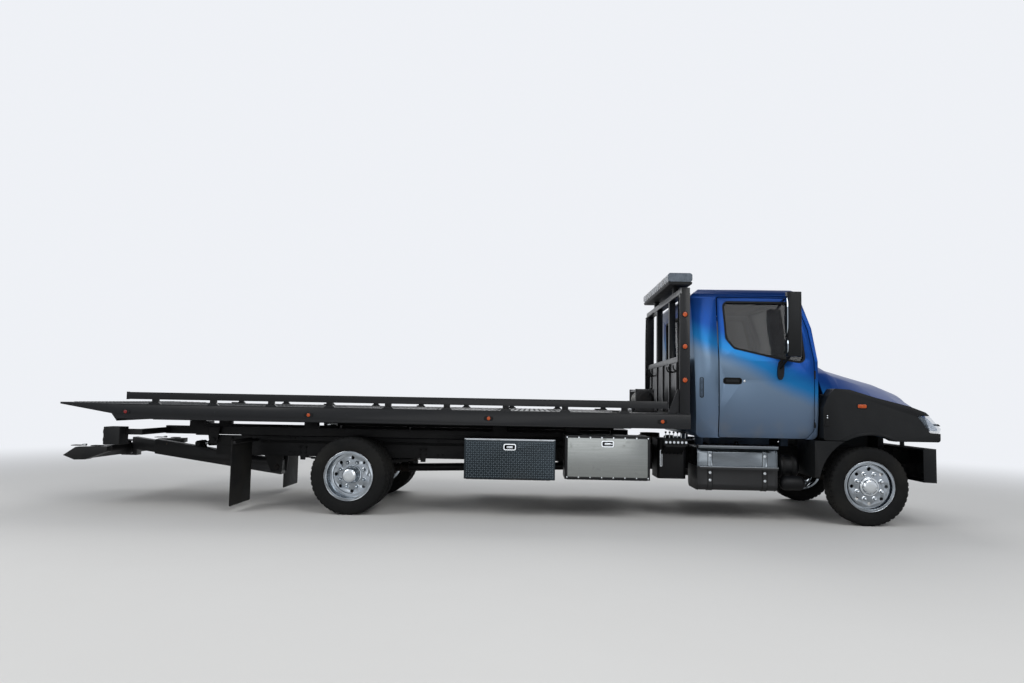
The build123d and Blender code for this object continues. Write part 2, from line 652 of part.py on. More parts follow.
def bumper_volume(points, inset):
    """The bumper's side view pulled across the vehicle and cut to its bowed plan."""
    half = bumper_half_width - inset
    with BuildPart() as volume:
        side_plate(points, (-half, half))
        with BuildSketch(Plane.XY.offset(400)) as plan:
            with BuildLine():
                bow = ThreePointArc((nose_x - bumper_sweep - inset, half), (nose_x - inset, 0),
                                    (nose_x - bumper_sweep - inset, -half))
                Polyline(bow @ 1, (front_axle_x + 350, -half), (front_axle_x + 350, half), bow @ 0)
            make_face()
        extrude(plan.sketch, amount=500, mode=Mode.INTERSECT)
    return volume.part


with BuildPart() as bumper:
    add(bumper_volume(bumper_outline, 0))
    add(bumper_volume(bumper_inside, bumper_wall), mode=Mode.SUBTRACT)
    for side_name, side in sides:
        slab((rail_front_x, front_axle_x + 748), sorted((side * rail_inner_y, side * rail_outer_y)),
             (620, 760))
        side_plate(((hood_pivot_x - 30, 755), (hood_pivot_x - 20, hood_pivot_z + 20),
                    (hood_pivot_x + 20, hood_pivot_z + 20), (hood_pivot_x + 30, 755)),
                   sorted((side * 440, side * 452)))
        cross_bar(14, (hood_pivot_x, side * 471, hood_pivot_z), 58)
finish(bumper.part, "bumper")

# Under the cab: a step tank on each side, the exhaust on the left and the hydraulic tank behind the cab
tank_rear_x = rear_axle_x + 3727
tank_front_x = rear_axle_x + 4577
tank_inner_y = 560
tank_outer_y = 1060
tank_bottom = 330
tank_top = 790
step_outer_y = 1130
strap_thickness = 4
with BuildPart() as step_tanks:
    for side_name, side in sides:
        # a rounded tank, and the straps round it
        for start_x, end_x, grow in ((tank_rear_x, tank_front_x, 0),
                                     (tank_rear_x + 110, tank_rear_x + 160, 1),
                                     (tank_front_x - 160, tank_front_x - 110, 1)):
            with BuildSketch(Plane.YZ.offset(start_x)) as section:
                with Locations((side * (tank_inner_y + tank_outer_y) / 2, (tank_bottom + tank_top) / 2)):
                    RectangleRounded(tank_outer_y - tank_inner_y + 2 * strap_thickness * grow,
                                     tank_top - tank_bottom + 2 * strap_thickness * grow, 70)
            extrude(section.sketch, amount=end_x - start_x)
        for tread_z in (560, 780):
            slab((tank_rear_x + 10, tank_front_x - 10), sorted((side * 1000, side * step_outer_y)),
                 (tread_z, tread_z + 30))
            slab((tank_rear_x + 5, tank_front_x - 5),
                 sorted((side * (tank_outer_y + 6), side * (step_outer_y - 4))),
                 (tread_z - 5, tread_z + 26), mode=Mode.SUBTRACT)
        for bracket_x in (tank_rear_x + 60, tank_front_x - 100):
            slab((bracket_x, bracket_x + 40), sorted((side * rail_outer_y, side * (tank_inner_y + 1))),
                 (600, 700))
finish(step_tanks.part, "step_tanks")

with BuildPart() as hydraulic_tank:
    slab((rear_axle_x + 3330, rear_axle_x + 3640), (-900, -480), (430, 860))
    fillet(hydraulic_tank.edges().filter_by(Axis.Z), radius=40)
    with Locations((rear_axle_x + 3485, -700, 875)):
        Cylinder(45, 40)
    slab((rear_axle_x + 3400, rear_axle_x + 3440), (-481, -rail_outer_y), (600, 700))
    slab((rear_axle_x + 3540, rear_axle_x + 3580), (-481, -rail_outer_y), (600, 700))
finish(hydraulic_tank.part, "hydraulic_tank")

muffler_x = rear_axle_x + 3485
with BuildPart() as exhaust:
    rod_between((muffler_x, 330, 505), (front_axle_x - 500, 330, 505), 38)
    rod_between((muffler_x, 330, 505), (muffler_x, 700, 505), 38)
    with Locations((muffler_x, 700, 640)):
        Cylinder(125, 430)
    rod_between((muffler_x, 700, 470), (muffler_x, 1080, 430), 38)
    slab((muffler_x - 20, muffler_x + 20), (rail_outer_y, 600), (600, 660))
finish(exhaust.part, "exhaust")

# Toolboxes: hollow boxes hung from the rails. A lip is folded in round the opening, and a drop-down lid, a
# pan with a sunk handle, covers the whole front.
box_wall = 5
box_lip = 15
lid_gap = 0.3
lid_thickness = 20
lid_wall = 4
for box_name, box_rear, box_front, box_bottom, box_top in toolboxes:
    box_middle = (box_rear + box_front) / 2
    with BuildPart() as toolbox:
        for side_name, side in sides:
            slab((box_rear, box_front), sorted((side * box_inner_y, side * box_outer_y)),
                 (box_bottom, box_top))
            slab((box_rear + box_wall, box_front - box_wall),
                 sorted((side * (box_inner_y + box_wall), side * (box_outer_y - box_wall))),
                 (box_bottom + box_wall, box_top - box_wall), mode=Mode.SUBTRACT)
            slab((box_rear + box_wall + box_lip, box_front - box_wall - box_lip),
                 sorted((side * (box_outer_y - 2 * box_wall), side * (box_outer_y + box_wall))),
                 (box_bottom + box_wall + box_lip, box_top - box_wall - box_lip), mode=Mode.SUBTRACT)
    finish(toolbox.part, f"toolboxes_{box_name}")
    lid_inside = box_outer_y + lid_gap
    lid_outside = lid_inside + lid_thickness
    lid_outline = ((box_rear + 2, box_bottom + 6), (box_front - 2, box_bottom + 6),
                   (box_front - 2, box_top - 2), (box_rear + 2, box_top - 2))
    handle_outline = ((box_middle - 62, box_top - 112), (box_middle + 62, box_top - 112),
                      (box_middle + 62, box_top - 52), (box_middle - 62, box_top - 52))
    for side_name, side in sides:
        with BuildPart() as lid:
            side_plate(lid_outline, sorted((side * lid_inside, side * lid_outside)), corner=14)
            side_plate(lid_outline, sorted((side * (lid_inside - 5), side * (lid_outside - lid_wall))),
                       mode=Mode.SUBTRACT, inset=22)
            side_plate(handle_outline, sorted((side * (lid_outside - 14), side * (lid_outside + 2))),
                       corner=18)
            side_plate(handle_outline, sorted((side * (lid_outside - 10), side * (lid_outside + 5))),
                       mode=Mode.SUBTRACT, inset=6)
            slab((box_middle - 34, box_middle + 34),
                 sorted((side * (lid_outside - 12), side * (lid_outside + 6))), (box_top - 96, box_top - 72))
        finish(lid.part, f"toolbox_door_{box_name}_{side_name}")

with BuildPart() as mud_flaps:
    for side_name, side in sides:
        slab((rear_axle_x - 1263, rear_axle_x - 1253.5), sorted((side * 600, side * 1190)), (70, 770))
finish(mud_flaps.part, "mud_flaps")

# Sub-frame that tilts on the chassis, with hinge plates, pads that the bed slides on, and the lift hangers
lift_base_x = rear_axle_x - 1280
lift_base_z = 700
lift_eye_x = rear_axle_x - 2100
lift_eye_z = 660
tilt_members = (rear_axle_x + 2920, rear_axle_x + 2100, tilt_eye_x - 250, rear_axle_x - 400,
                rear_axle_x - 1120, rear_axle_x - 2290)
with BuildPart() as tilt_frame:
    for side_name, side in sides:
        rail_sides = sorted((side * rail_inner_y, side * rail_outer_y))
        slab((tilt_rail_rear_x, tilt_rail_front_x), rail_sides, (tilt_rail_bottom, tilt_rail_top))
        for pad_x in (rear_axle_x + 2350, rear_axle_x + 1500, rear_axle_x - 700, rear_axle_x - 2050):
            slab((pad_x, pad_x + 160), rail_sides, (tilt_rail_top, sill_bottom - 1))
        plate_y = sorted((side * 505, side * 522))
        side_plate(((tilt_pivot_x - 75, tilt_rail_top - 5), (tilt_pivot_x - 45, tilt_pivot_z - 42),
                    (tilt_pivot_x + 45, tilt_pivot_z - 42), (tilt_pivot_x + 75, tilt_rail_top - 5)), plate_y)
        slab((tilt_pivot_x - 65, tilt_pivot_x + 65), sorted((side * 462, side * 506)),
             (806, tilt_rail_top - 5))
        cross_bar(24.4, (tilt_pivot_x, side * 513, tilt_pivot_z), 40, mode=Mode.SUBTRACT)
        for cheek_y in (tilt_cylinder_y - 42, tilt_cylinder_y + 34):
            cheek = ((tilt_eye_x - 290, tilt_rail_bottom + 8), (tilt_eye_x - 290, tilt_rail_bottom + 50),
                     (tilt_eye_x - 50, tilt_rail_top + 15), (tilt_eye_x + 34, tilt_rail_top + 15),
                     (tilt_eye_x + 34, tilt_rail_bottom + 8))
            side_plate(cheek, sorted((side * cheek_y, side * (cheek_y + 8))))
        hanger_y = sorted((side * 92, side * 108))
        side_plate(((boom_pivot_x - 250, tilt_rail_bottom + 20), (lift_base_x - 45, lift_base_z - 45),
                    (boom_pivot_x - 70, boom_pivot_z - 55), (boom_pivot_x + 60, boom_pivot_z - 55),
                    (boom_pivot_x + 90, tilt_rail_bottom + 20)), hanger_y)
        slab((rear_axle_x - 2330, rear_axle_x - 2270), sorted((side * 462, side * 1130)), (805, 865))
        slab((rear_axle_x - 2460, rear_axle_x - 2270), sorted((side * 1050, side * 1130)), (805, 865))
    for member_x in tilt_members:
        slab((member_x - 40, member_x + 40), (-rail_y, rail_y), (tilt_rail_bottom, 826))
    cross_bar(28, (boom_pivot_x, 0, boom_pivot_z), 216)
    cross_bar(20, (lift_base_x, 0, lift_base_z), 216)
finish(tilt_frame.part, "tilt_frame")

with BuildPart() as tail_lamps:
    for side_name, side in sides:
        slab((rear_axle_x - 2637, rear_axle_x - 2460), sorted((side * 1050, side * 1240)), (700, 890))
finish(tail_lamps.part, "tail_lamps")


def cylinder_parts(base, eye, barrel_radius, rod_radius, base_bore):
    """A hydraulic cylinder between two eyes: its hollow barrel, and its rod with the eye at its end."""
    along = (Vector(*eye) - Vector(*base)).normalized()
    shoulder = Vector(*base) + along * (base_bore + 14)
    barrel_end = Vector(*eye) - along * (barrel_radius + 60)
    rod_start = shoulder + along * 45
    with BuildPart() as barrel:
        rod_between(shoulder, barrel_end, barrel_radius)
        rod_between(rod_start - along * 33, barrel_end + along, rod_radius + 0.4, mode=Mode.SUBTRACT)
        cross_bar(base_bore + 20, base, 50)
        cross_bar(base_bore + 0.4, base, 60, mode=Mode.SUBTRACT)
    with BuildPart() as rod:
        rod_between(rod_start, Vector(*eye), rod_radius)
        cross_bar(rod_radius + 16, eye, 44)
        cross_bar(rod_radius - 6, eye, 54)
    return barrel.part, rod.part


with BuildPart() as tilt_cylinder_barrels:
    for side_name, side in sides:
        add(cylinder_parts((tilt_base_x, side * tilt_cylinder_y, tilt_base_z),
                           (tilt_eye_x, side * tilt_cylinder_y, tilt_eye_z), 48, 28, 22)[0])
finish(tilt_cylinder_barrels.part, "tilt_cylinder_barrels")
with BuildPart() as tilt_cylinder_rods:
    for side_name, side in sides:
        add(cylinder_parts((tilt_base_x, side * tilt_cylinder_y, tilt_base_z),
                           (tilt_eye_x, side * tilt_cylinder_y, tilt_eye_z), 48, 28, 22)[1])
finish(tilt_cylinder_rods.part, "tilt_cylinder_rods")

# The slide cylinder lies in the sub-frame. Its rod pushes the bed to the rear.
slide_front_x = rear_axle_x + 2940
slide_rear_x = rear_axle_x - 420
with BuildPart() as slide_cylinder_barrel:
    rod_between((slide_front_x, 0, slide_axis_z), (slide_rear_x, 0, slide_axis_z), 34)
    for clamp_x in (tilt_members[0], tilt_members[2], tilt_members[3]):
        with BuildSketch(Plane.YZ.offset(clamp_x - 15)) as saddle:
            with BuildLine():
                Polyline((-70, 826), (70, 826), (36, slide_axis_z - 10), (-36, slide_axis_z - 10), close=True)
            make_face()
        extrude(saddle.sketch, amount=30)
    rod_between((slide_front_x - 60, 0, slide_axis_z), (slide_rear_x - 1, 0, slide_axis_z), 20.4,
                mode=Mode.SUBTRACT)
finish(slide_cylinder_barrel.part, "slide_cylinder_barrel")
with BuildPart() as slide_cylinder_rod:
    rod_between((slide_front_x - 80, 0, slide_axis_z), (slide_rear_x - 130, 0, slide_axis_z), 20)
    slab((slide_rear_x - 150, slide_rear_x - 110), (-70, 70), (slide_axis_z - 26, 1054))
finish(slide_cylinder_rod.part, "slide_cylinder_rod")

# Bed: deck plate on channels and two sills, side beams, and a wedge that comes down to the road
half_bed = bed_width / 2
member_depth = 80
rail_posts = [rear_axle_x - 2090 + 627 * count for count in range(9)]
with BuildPart() as bed_deck:
    slab((bed_rear_x, bed_front_x), (-half_bed, half_bed), (deck_height - deck_thickness, deck_height))
    for side_name, side in sides:
        slab((bed_rear_x, bed_front_x), sorted((side * (half_bed - 8), side * half_bed)),
             (beam_bottom, deck_height - deck_thickness))
        slab((bed_rear_x, bed_front_x), sorted((side * (half_bed - 70), side * half_bed)),
             (beam_bottom, beam_bottom + 8))
        slab((bed_rear_x, rear_axle_x + 3100), sorted((side * (sill_y - 45), side * (sill_y + 30))),
             (sill_bottom, deck_height - deck_thickness))
        slab((bed_rear_x + 10, rear_axle_x + 3110), sorted((side * (sill_y - 46), side * (sill_y + 22))),
             (sill_bottom + 8, deck_height - deck_thickness), mode=Mode.SUBTRACT)
    for member_x in (*rail_posts, bed_front_x - 40, slide_rear_x - 130):
        slab((member_x - 4, member_x + 4), (8 - half_bed, half_bed - 8),
             (deck_height - deck_thickness - member_depth, deck_height - deck_thickness))
        slab((member_x - 4, member_x + 46), (8 - half_bed, half_bed - 8),
             (deck_height - deck_thickness - member_depth, deck_height - member_depth + 2))
    side_plate(((bed_rear_x, deck_height), (bed_rear_x, 954), (bed_rear_x - 61, 1034), (bed_tip_x, 1128),
                (bed_tip_x, 1148)), (-half_bed, half_bed))
    side_plate(((bed_rear_x - 8, deck_height - 8), (bed_rear_x - 8, 972), (bed_rear_x - 64, 1044),
                (bed_tip_x + 60, 1126), (bed_tip_x + 60, 1136)), (8 - half_bed, half_bed - 8),
               mode=Mode.SUBTRACT)
finish(bed_deck.part, "bed_deck")

with BuildPart() as bed_side_rails:
    for side_name, side in sides:
        rail_sides = sorted((side * (half_bed - 45), side * half_bed))
        slab((bed_rear_x + 100, bed_front_x - 250), rail_sides, (1190, 1266))
        for post_x in rail_posts:
            slab((post_x - 33, post_x + 34), sorted((side * (half_bed - 38), side * (half_bed - 4))),
                 (deck_height, 1190))
finish(bed_side_rails.part, "bed_side_rails")

# Headboard: four posts, a closed lower panel, cross bars, and the light bar on brackets
head_rear_x = rear_axle_x + 3505
head_front_x = rear_axle_x + 3610
with BuildPart() as headboard:
    for side_name, side in sides:
        slab((head_rear_x, head_front_x), sorted((side * 1170, side * half_bed)), (deck_height, 2420))
        slab((head_rear_x + 25, head_front_x - 10), sorted((side * 405, side * 475)), (1700, 2420))
        slab((head_rear_x + 30, head_front_x - 20), sorted((side * 620, side * 700)), (2470, 2560))
    slab((head_rear_x + 40, head_front_x - 45), (-1170, 1170), (deck_height, 1735))
    slab((head_rear_x + 15, head_front_x), (-half_bed, half_bed), (2420, 2480))
    slab((head_rear_x + 25, head_front_x - 10), (-1170, 1170), (1700, 1760))
finish(headboard.part, "headboard")

with BuildPart() as light_bar:
    slab((head_rear_x - 60, head_front_x + 80), (-945, 945), (2560, 2590))
    slab((head_rear_x - 75, head_front_x + 90), (-945, 945), (2590, 2690))
    fillet(light_bar.edges().filter_by(Axis.Y).group_by(Axis.Z)[-1], radius=30)
finish(light_bar.part, "light_bar")

winch_x = rear_axle_x + 3270
with BuildPart() as winch_frame:
    slab((winch_x - 150, winch_x + 150), (-330, 330), (deck_height, deck_height + 12))
    for cheek_y in (-330, 210):
        slab((winch_x - 110, winch_x + 110), (cheek_y, cheek_y + 20), (deck_height + 12, deck_height + 270))
    cross_bar(60, (winch_x, 285, deck_height + 150), 110)
    cross_bar(15, (winch_x, -60, deck_height + 150), 510)
finish(winch_frame.part, "winch_frame")
with BuildPart() as winch_drum:
    cross_bar(76, (winch_x, -50, deck_height + 150), 490)
    for flange_y in (-290, 190):
        cross_bar(105, (winch_x, flange_y, deck_height + 150), 14)
    cross_bar(15.4, (winch_x, -50, deck_height + 150), 520, mode=Mode.SUBTRACT)
finish(winch_drum.part, "winch_drum")

with BuildPart() as marker_lamps:
    for side_name, side in sides:
        lens_y = sorted((side * half_bed, side * (half_bed + 12)))
        for lamp_x in (rear_axle_x + 3324, rear_axle_x + 1493, rear_axle_x - 426):
            with BuildSketch(Plane.XZ.offset(-lens_y[0])) as lens:
                with Locations((lamp_x, 1055)):
                    SlotOverall(100, 44)
            extrude(lens.sketch, amount=-(lens_y[1] - lens_y[0]))
        for lamp_z in (1496, 1851, 2193):
            with BuildSketch(Plane.XZ.offset(-lens_y[0])) as lens:
                with Locations((head_rear_x + 52, lamp_z)):
                    Circle(26)
            extrude(lens.sketch, amount=-(lens_y[1] - lens_y[0]))
finish(marker_lamps.part, "marker_lamps")

# Wheel lift: a box boom on the hangers, an inner boom that slides out of it, and a cross bar with two arms
boom_rise = (boom_tip_z - boom_pivot_z) / (boom_pivot_x - boom_tip_x)


def boom_plate(start_x, end_x, half_height, y_range, mode=Mode.ADD):
    """A straight box along the boom's line between two stations."""
    ends = [(x, boom_pivot_z + (boom_pivot_x - x) * boom_rise) for x in (start_x, end_x)]
    (start, start_z), (end, end_z) = ends
    side_plate(((start, start_z - half_height), (end, end_z - half_height), (end, end_z + half_height),
                (start, start_z + half_height)), y_range, mode=mode)


with BuildPart() as lift_boom:
    boom_plate(boom_pivot_x + 45, boom_tip_x, 85, (-75, 75))
    boom_plate(boom_pivot_x - 100, boom_tip_x - 10, 71, (-63, 63), mode=Mode.SUBTRACT)
    cross_bar(28.4, (boom_pivot_x, 0, boom_pivot_z), 160, mode=Mode.SUBTRACT)
    for cheek_y in (-44, 34):
        side_plate(((lift_eye_x - 60, 620), (lift_eye_x - 36, lift_eye_z + 26),
                    (lift_eye_x + 36, lift_eye_z + 26), (lift_eye_x + 60, 604)), (cheek_y, cheek_y + 10))
finish(lift_boom.part, "lift_boom")

cross_x = rear_axle_x - 3000
with BuildPart() as lift_boom_inner:
    boom_plate(boom_pivot_x - 560, cross_x + 75, 70.4, (-62.4, 62.4))
    boom_plate(boom_pivot_x - 570, cross_x + 120, 60, (-52, 52), mode=Mode.SUBTRACT)
    for fork_z in (500, 670):
        slab((cross_x - 60, cross_x + 130), (-57, 57), (fork_z, fork_z + 18))
    slab((cross_x + 76, cross_x + 130), (-57, 57), (500, 688))
    with Locations((cross_x, 0, 594)):
        Cylinder(24, 188)
finish(lift_boom_inner.part, "lift_boom_inner")

with BuildPart() as lift_crossbar:
    slab((cross_x - 60, cross_x + 60), (-1000, 1000), (526, 646))
    with Locations((cross_x, 0, 590)):
        Cylinder(24.5, 200, mode=Mode.SUBTRACT)
    for side_name, side in sides:
        side_plate(((tail_x, 560), (cross_x - 74, 652), (cross_x + 280, 664), (cross_x + 280, 610),
                    (cross_x + 40, 516), (cross_x - 80, 512)), sorted((side * 890, side * 1000)))
finish(lift_crossbar.part, "lift_crossbar")

with BuildPart() as lift_cylinder_barrel:
    add(cylinder_parts((lift_base_x, 0, lift_base_z), (lift_eye_x, 0, lift_eye_z), 36, 22, 20)[0])
finish(lift_cylinder_barrel.part, "lift_cylinder_barrel")
with BuildPart() as lift_cylinder_rod:
    add(cylinder_parts((lift_base_x, 0, lift_base_z), (lift_eye_x, 0, lift_eye_z), 36, 22, 20)[1])
finish(lift_cylinder_rod.part, "lift_cylinder_rod")
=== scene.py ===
# Flatbed tow truck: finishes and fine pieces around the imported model. Metres, +X forward, +Y left, +Z up.
import json
import math
import bmesh
import bpy
import numpy as np
from mathutils import Matrix, Vector

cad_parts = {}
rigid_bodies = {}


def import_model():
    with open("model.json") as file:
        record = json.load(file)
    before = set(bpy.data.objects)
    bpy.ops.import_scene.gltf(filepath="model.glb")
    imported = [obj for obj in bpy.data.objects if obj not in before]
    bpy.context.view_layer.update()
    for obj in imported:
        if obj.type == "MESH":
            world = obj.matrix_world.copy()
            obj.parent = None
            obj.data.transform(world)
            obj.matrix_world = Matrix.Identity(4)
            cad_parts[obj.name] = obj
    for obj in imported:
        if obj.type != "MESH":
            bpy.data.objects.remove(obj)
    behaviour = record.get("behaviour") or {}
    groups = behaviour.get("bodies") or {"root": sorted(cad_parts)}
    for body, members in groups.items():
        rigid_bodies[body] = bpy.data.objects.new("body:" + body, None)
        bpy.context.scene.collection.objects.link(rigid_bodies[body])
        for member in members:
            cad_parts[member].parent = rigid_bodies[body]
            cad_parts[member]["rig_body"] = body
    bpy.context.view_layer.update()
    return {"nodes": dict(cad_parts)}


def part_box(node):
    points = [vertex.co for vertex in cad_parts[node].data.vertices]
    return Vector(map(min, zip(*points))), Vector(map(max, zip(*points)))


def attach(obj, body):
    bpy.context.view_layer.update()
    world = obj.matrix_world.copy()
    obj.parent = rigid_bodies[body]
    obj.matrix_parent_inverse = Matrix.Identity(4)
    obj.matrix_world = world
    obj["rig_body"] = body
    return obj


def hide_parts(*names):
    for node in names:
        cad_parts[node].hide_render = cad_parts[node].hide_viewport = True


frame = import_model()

print("frame loaded,", len(frame["nodes"]), "nodes")


# Stations read from the frame
def middle(node):
    low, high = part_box(node)
    return (low + high) / 2


frontAxle = middle("front_tyre_right")
rearAxle = middle("rear_tyres_right")
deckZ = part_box("winch_frame")[0].z
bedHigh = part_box("bed_deck")[1]
bedRear, bedFront, bedHalf = rearAxle.x - 2.494, bedHigh.x, bedHigh.y
cabRear, cabFront = frontAxle.x - 1.796, frontAxle.x - 0.509
doorRear, doorFront = frontAxle.x - 1.562, frontAxle.x - 0.544
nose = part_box("bumper")[1].x
headRear, headFront = rearAxle.x + 3.505, rearAxle.x + 3.61
hoodFront = frontAxle.x + 0.715
winchX = rearAxle.x + 3.27
sides = (("left", 1), ("right", -1))
alongX, alongY, alongZ = (1.0, 0.0, 0.0), (0.0, 1.0, 0.0), (0.0, 0.0, 1.0)

# Camera at the photograph's viewpoint: place, turn, upward tilt and roll in degrees, focal length in pixels
viewpoint = {"place": (rearAxle.x + 1.95, -9.435, 1.253), "turn": 1.57, "tilt": 4.34, "roll": 1.04,
             "focalPixels": 771.2, "imageWidth": 1024, "sensor": 36.0}


def placeCamera(spec):
    # Turn and tilt give the way ahead; level, upright and ahead stand square, and roll mixes the first two
    turn, tilt, roll = (math.radians(spec[key]) for key in ("turn", "tilt", "roll"))
    ahead = Vector((-math.sin(turn) * math.cos(tilt), math.cos(turn) * math.cos(tilt), math.sin(tilt)))
    level = Vector((math.cos(turn), math.sin(turn), 0))
    upright = level.cross(ahead)
    right = level * math.cos(roll) + upright * math.sin(roll)
    up = upright * math.cos(roll) - level * math.sin(roll)
    data = bpy.data.cameras.new("camera")
    data.sensor_width = spec["sensor"]
    data.lens = spec["focalPixels"] / spec["imageWidth"] * spec["sensor"]
    data.clip_end = 200
    camera = bpy.data.objects.new("camera", data)
    x, y, z = spec["place"]
    camera.matrix_world = Matrix(((right.x, up.x, -ahead.x, x), (right.y, up.y, -ahead.y, y),
                                  (right.z, up.z, -ahead.z, z), (0, 0, 0, 1)))
    bpy.context.scene.collection.objects.link(camera)
    bpy.context.scene.camera = camera


placeCamera(viewpoint)
print("camera placed")


# Shader helpers
class Flow:
    # Wraps one socket, so that sums and products of values read as plain expressions
    def __init__(self, paint, socket):
        self.paint = paint
        self.socket = socket

    def combine(self, operation, *values):
        return self.paint.node("ShaderNodeMath", {"operation": operation}, dict(enumerate(values)))

    def __add__(self, other):
        return self.combine("ADD", self, other)

    def __radd__(self, other):
        return self.combine("ADD", other, self)

    def __sub__(self, other):
        return self.combine("SUBTRACT", self, other)

    def __rsub__(self, other):
        return self.combine("SUBTRACT", other, self)

    def __mul__(self, other):
        return self.combine("MULTIPLY", self, other)

    def __rmul__(self, other):
        return self.combine("MULTIPLY", other, self)

    def fold(self, period):
        # A triangle wave of this period, from 0 to half the period
        return self.combine("PINGPONG", self, period / 2)

    def ramp(self, low, high):
        # 0 below low, 1 above high, eased between
        return self.paint.node("ShaderNodeMapRange", {"interpolation_type": "SMOOTHSTEP"},
                               {"Value": self, "From Min": low, "From Max": high})


class Paint:
    # One material: its Principled shader and whatever nodes feed it
    def __init__(self, name, constants):
        self.material = bpy.data.materials.new(name)
        self.material.use_nodes = True
        self.tree = self.material.node_tree
        self.shader = self.tree.nodes["Principled BSDF"]
        self.feed(constants)

    def feed(self, values, target=None):
        target = target or self.shader
        for key, value in values.items():
            if isinstance(value, Flow):
                self.tree.links.new(value.socket, target.inputs[key])
            else:
                target.inputs[key].default_value = value

    def node(self, kind, settings=None, values=None, output=0):
        made = self.tree.nodes.new(kind)
        for key, value in (settings or {}).items():
            setattr(made, key, value)
        self.feed(values or {}, made)
        return Flow(self, made.outputs[output])

    def spot(self, stretch=(1, 1, 1)):
        here = self.node("ShaderNodeTexCoord", output="Object")
        return self.node("ShaderNodeMapping", {}, {"Vector": here, "Scale": stretch})

    def axis(self, letter):
        return self.node("ShaderNodeSeparateXYZ", {}, {"Vector": self.spot()}, letter)

    def noise(self, scale, detail=3.0, stretch=(1, 1, 1)):
        return self.node("ShaderNodeTexNoise", {},
                         {"Vector": self.spot(stretch), "Scale": scale, "Detail": detail})

    def cells(self, scale, stretch=(1, 1, 1)):
        return self.node("ShaderNodeTexVoronoi", {}, {"Vector": self.spot(stretch), "Scale": scale},
                         "Distance")

    def mix(self, factor, first, second):
        return self.node("ShaderNodeMix", {"data_type": "RGBA"}, {0: factor, 6: first, 7: second}, 2)

    def bump(self, height, strength, distance):
        self.feed({"Normal": self.node("ShaderNodeBump", {},
                                       {"Strength": strength, "Distance": distance, "Height": height})})


def tint(code):
    # A colour code such as #1b2a5c as linear values
    parts = [int(code[place:place + 2], 16) / 255 for place in (1, 3, 5)]
    return tuple(part / 12.92 if part <= 0.04045 else ((part + 0.055) / 1.055) ** 2.4
                 for part in parts) + (1.0,)


def dustyPaint(name, look):
    # Paint, plastic or rubber that is duller and dustier low down, with patches, fine grain and rubbed spots
    paint = Paint(name, {"Metallic": look.get("metallic", 0.0), "Coat Weight": look.get("coat", 0.0),
                         "Coat Roughness": 0.12, "Specular IOR Level": look.get("specular", 0.2)})
    patches = paint.noise(look.get("patchScale", 2.3), 5.0)
    low = 1 - paint.axis("Z").ramp(0.1, look.get("dustTop", 1.1))
    dust = (low * 0.7 + 0.12) * patches.ramp(0.42, 0.72) * look.get("dust", 0.3)
    rubbed = paint.noise(look.get("rubScale", 31.0), 6.0).ramp(0.66, 0.76) * look.get("rub", 0.2)
    base = paint.mix(dust, tint(look["colour"]), tint(look.get("dustColour", "#3b3833")))
    base = paint.mix(rubbed, base, tint(look.get("rubColour", "#34373a")))
    rough = paint.noise(9.0, 4.0) * 0.16 + (look["rough"] - 0.08) + dust * 0.5
    paint.feed({"Base Color": base, "Roughness": rough})
    paint.bump(paint.noise(look.get("grain", 420.0), 2.0), look.get("grainStrength", 0.12), 0.0006)
    return paint.material


def barePolish(name, look):
    # Polished or brushed metal: fine lines along one axis, cloudy gloss and a few dull marks
    paint = Paint(name, {"Metallic": 1.0, "Specular IOR Level": 0.5})
    lines = paint.noise(look.get("lineScale", 60.0), 4.0, look.get("stretch", (0.05, 1.0, 1.0)))
    cloud = paint.noise(3.1, 4.0)
    stain = paint.noise(13.0, 6.0).ramp(0.58, 0.76) * look.get("stain", 0.4)
    base = paint.mix(lines, tint(look["colour"]), tint(look["lineColour"]))
    paint.feed({"Base Color": paint.mix(stain, base, tint(look.get("stainColour", "#6b6a66"))),
                "Roughness": cloud * look.get("cloud", 0.12) + lines * 0.06 + look["rough"] + stain * 0.25})
    paint.bump(lines + paint.noise(look.get("waveScale", 2.0), 2.0) * look.get("wave", 0.0),
               look.get("bump", 0.08), 0.0008)
    return paint.material


def lens(name, look):
    # A moulded lens: clear or coloured plastic with fine vertical flutes
    paint = Paint(name, {"Coat Weight": 0.25, "Coat Roughness": 0.02, "Transmission Weight": look["clear"],
                         "Specular IOR Level": 0.25, "IOR": 1.49, "Emission Strength": look.get("glow", 0.0),
                         "Emission Color": tint(look["colour"])})
    flutes = (paint.axis("Y") + paint.axis("X")).fold(look.get("flute", 0.012))
    shade = paint.noise(24.0, 3.0)
    paint.feed({"Base Color": paint.mix(shade, tint(look["colour"]), tint(look["deep"])),
                "Roughness": shade * 0.1 + look.get("rough", 0.08)})
    paint.bump(flutes, 0.35, 0.5)
    return paint.material


# Cab paint: deep blue above, a turquoise band, and silver below a line that falls towards the front
cabPaintLook = {"deep": "#0a3879", "roof": "#08295c", "band": "#17639a", "silver": "#65788c",
                "silverLow": "#55657a", "lineHeight": 1.93, "lineStart": cabRear + 0.03, "fall": 0.5,
                "bandWidth": 0.27}


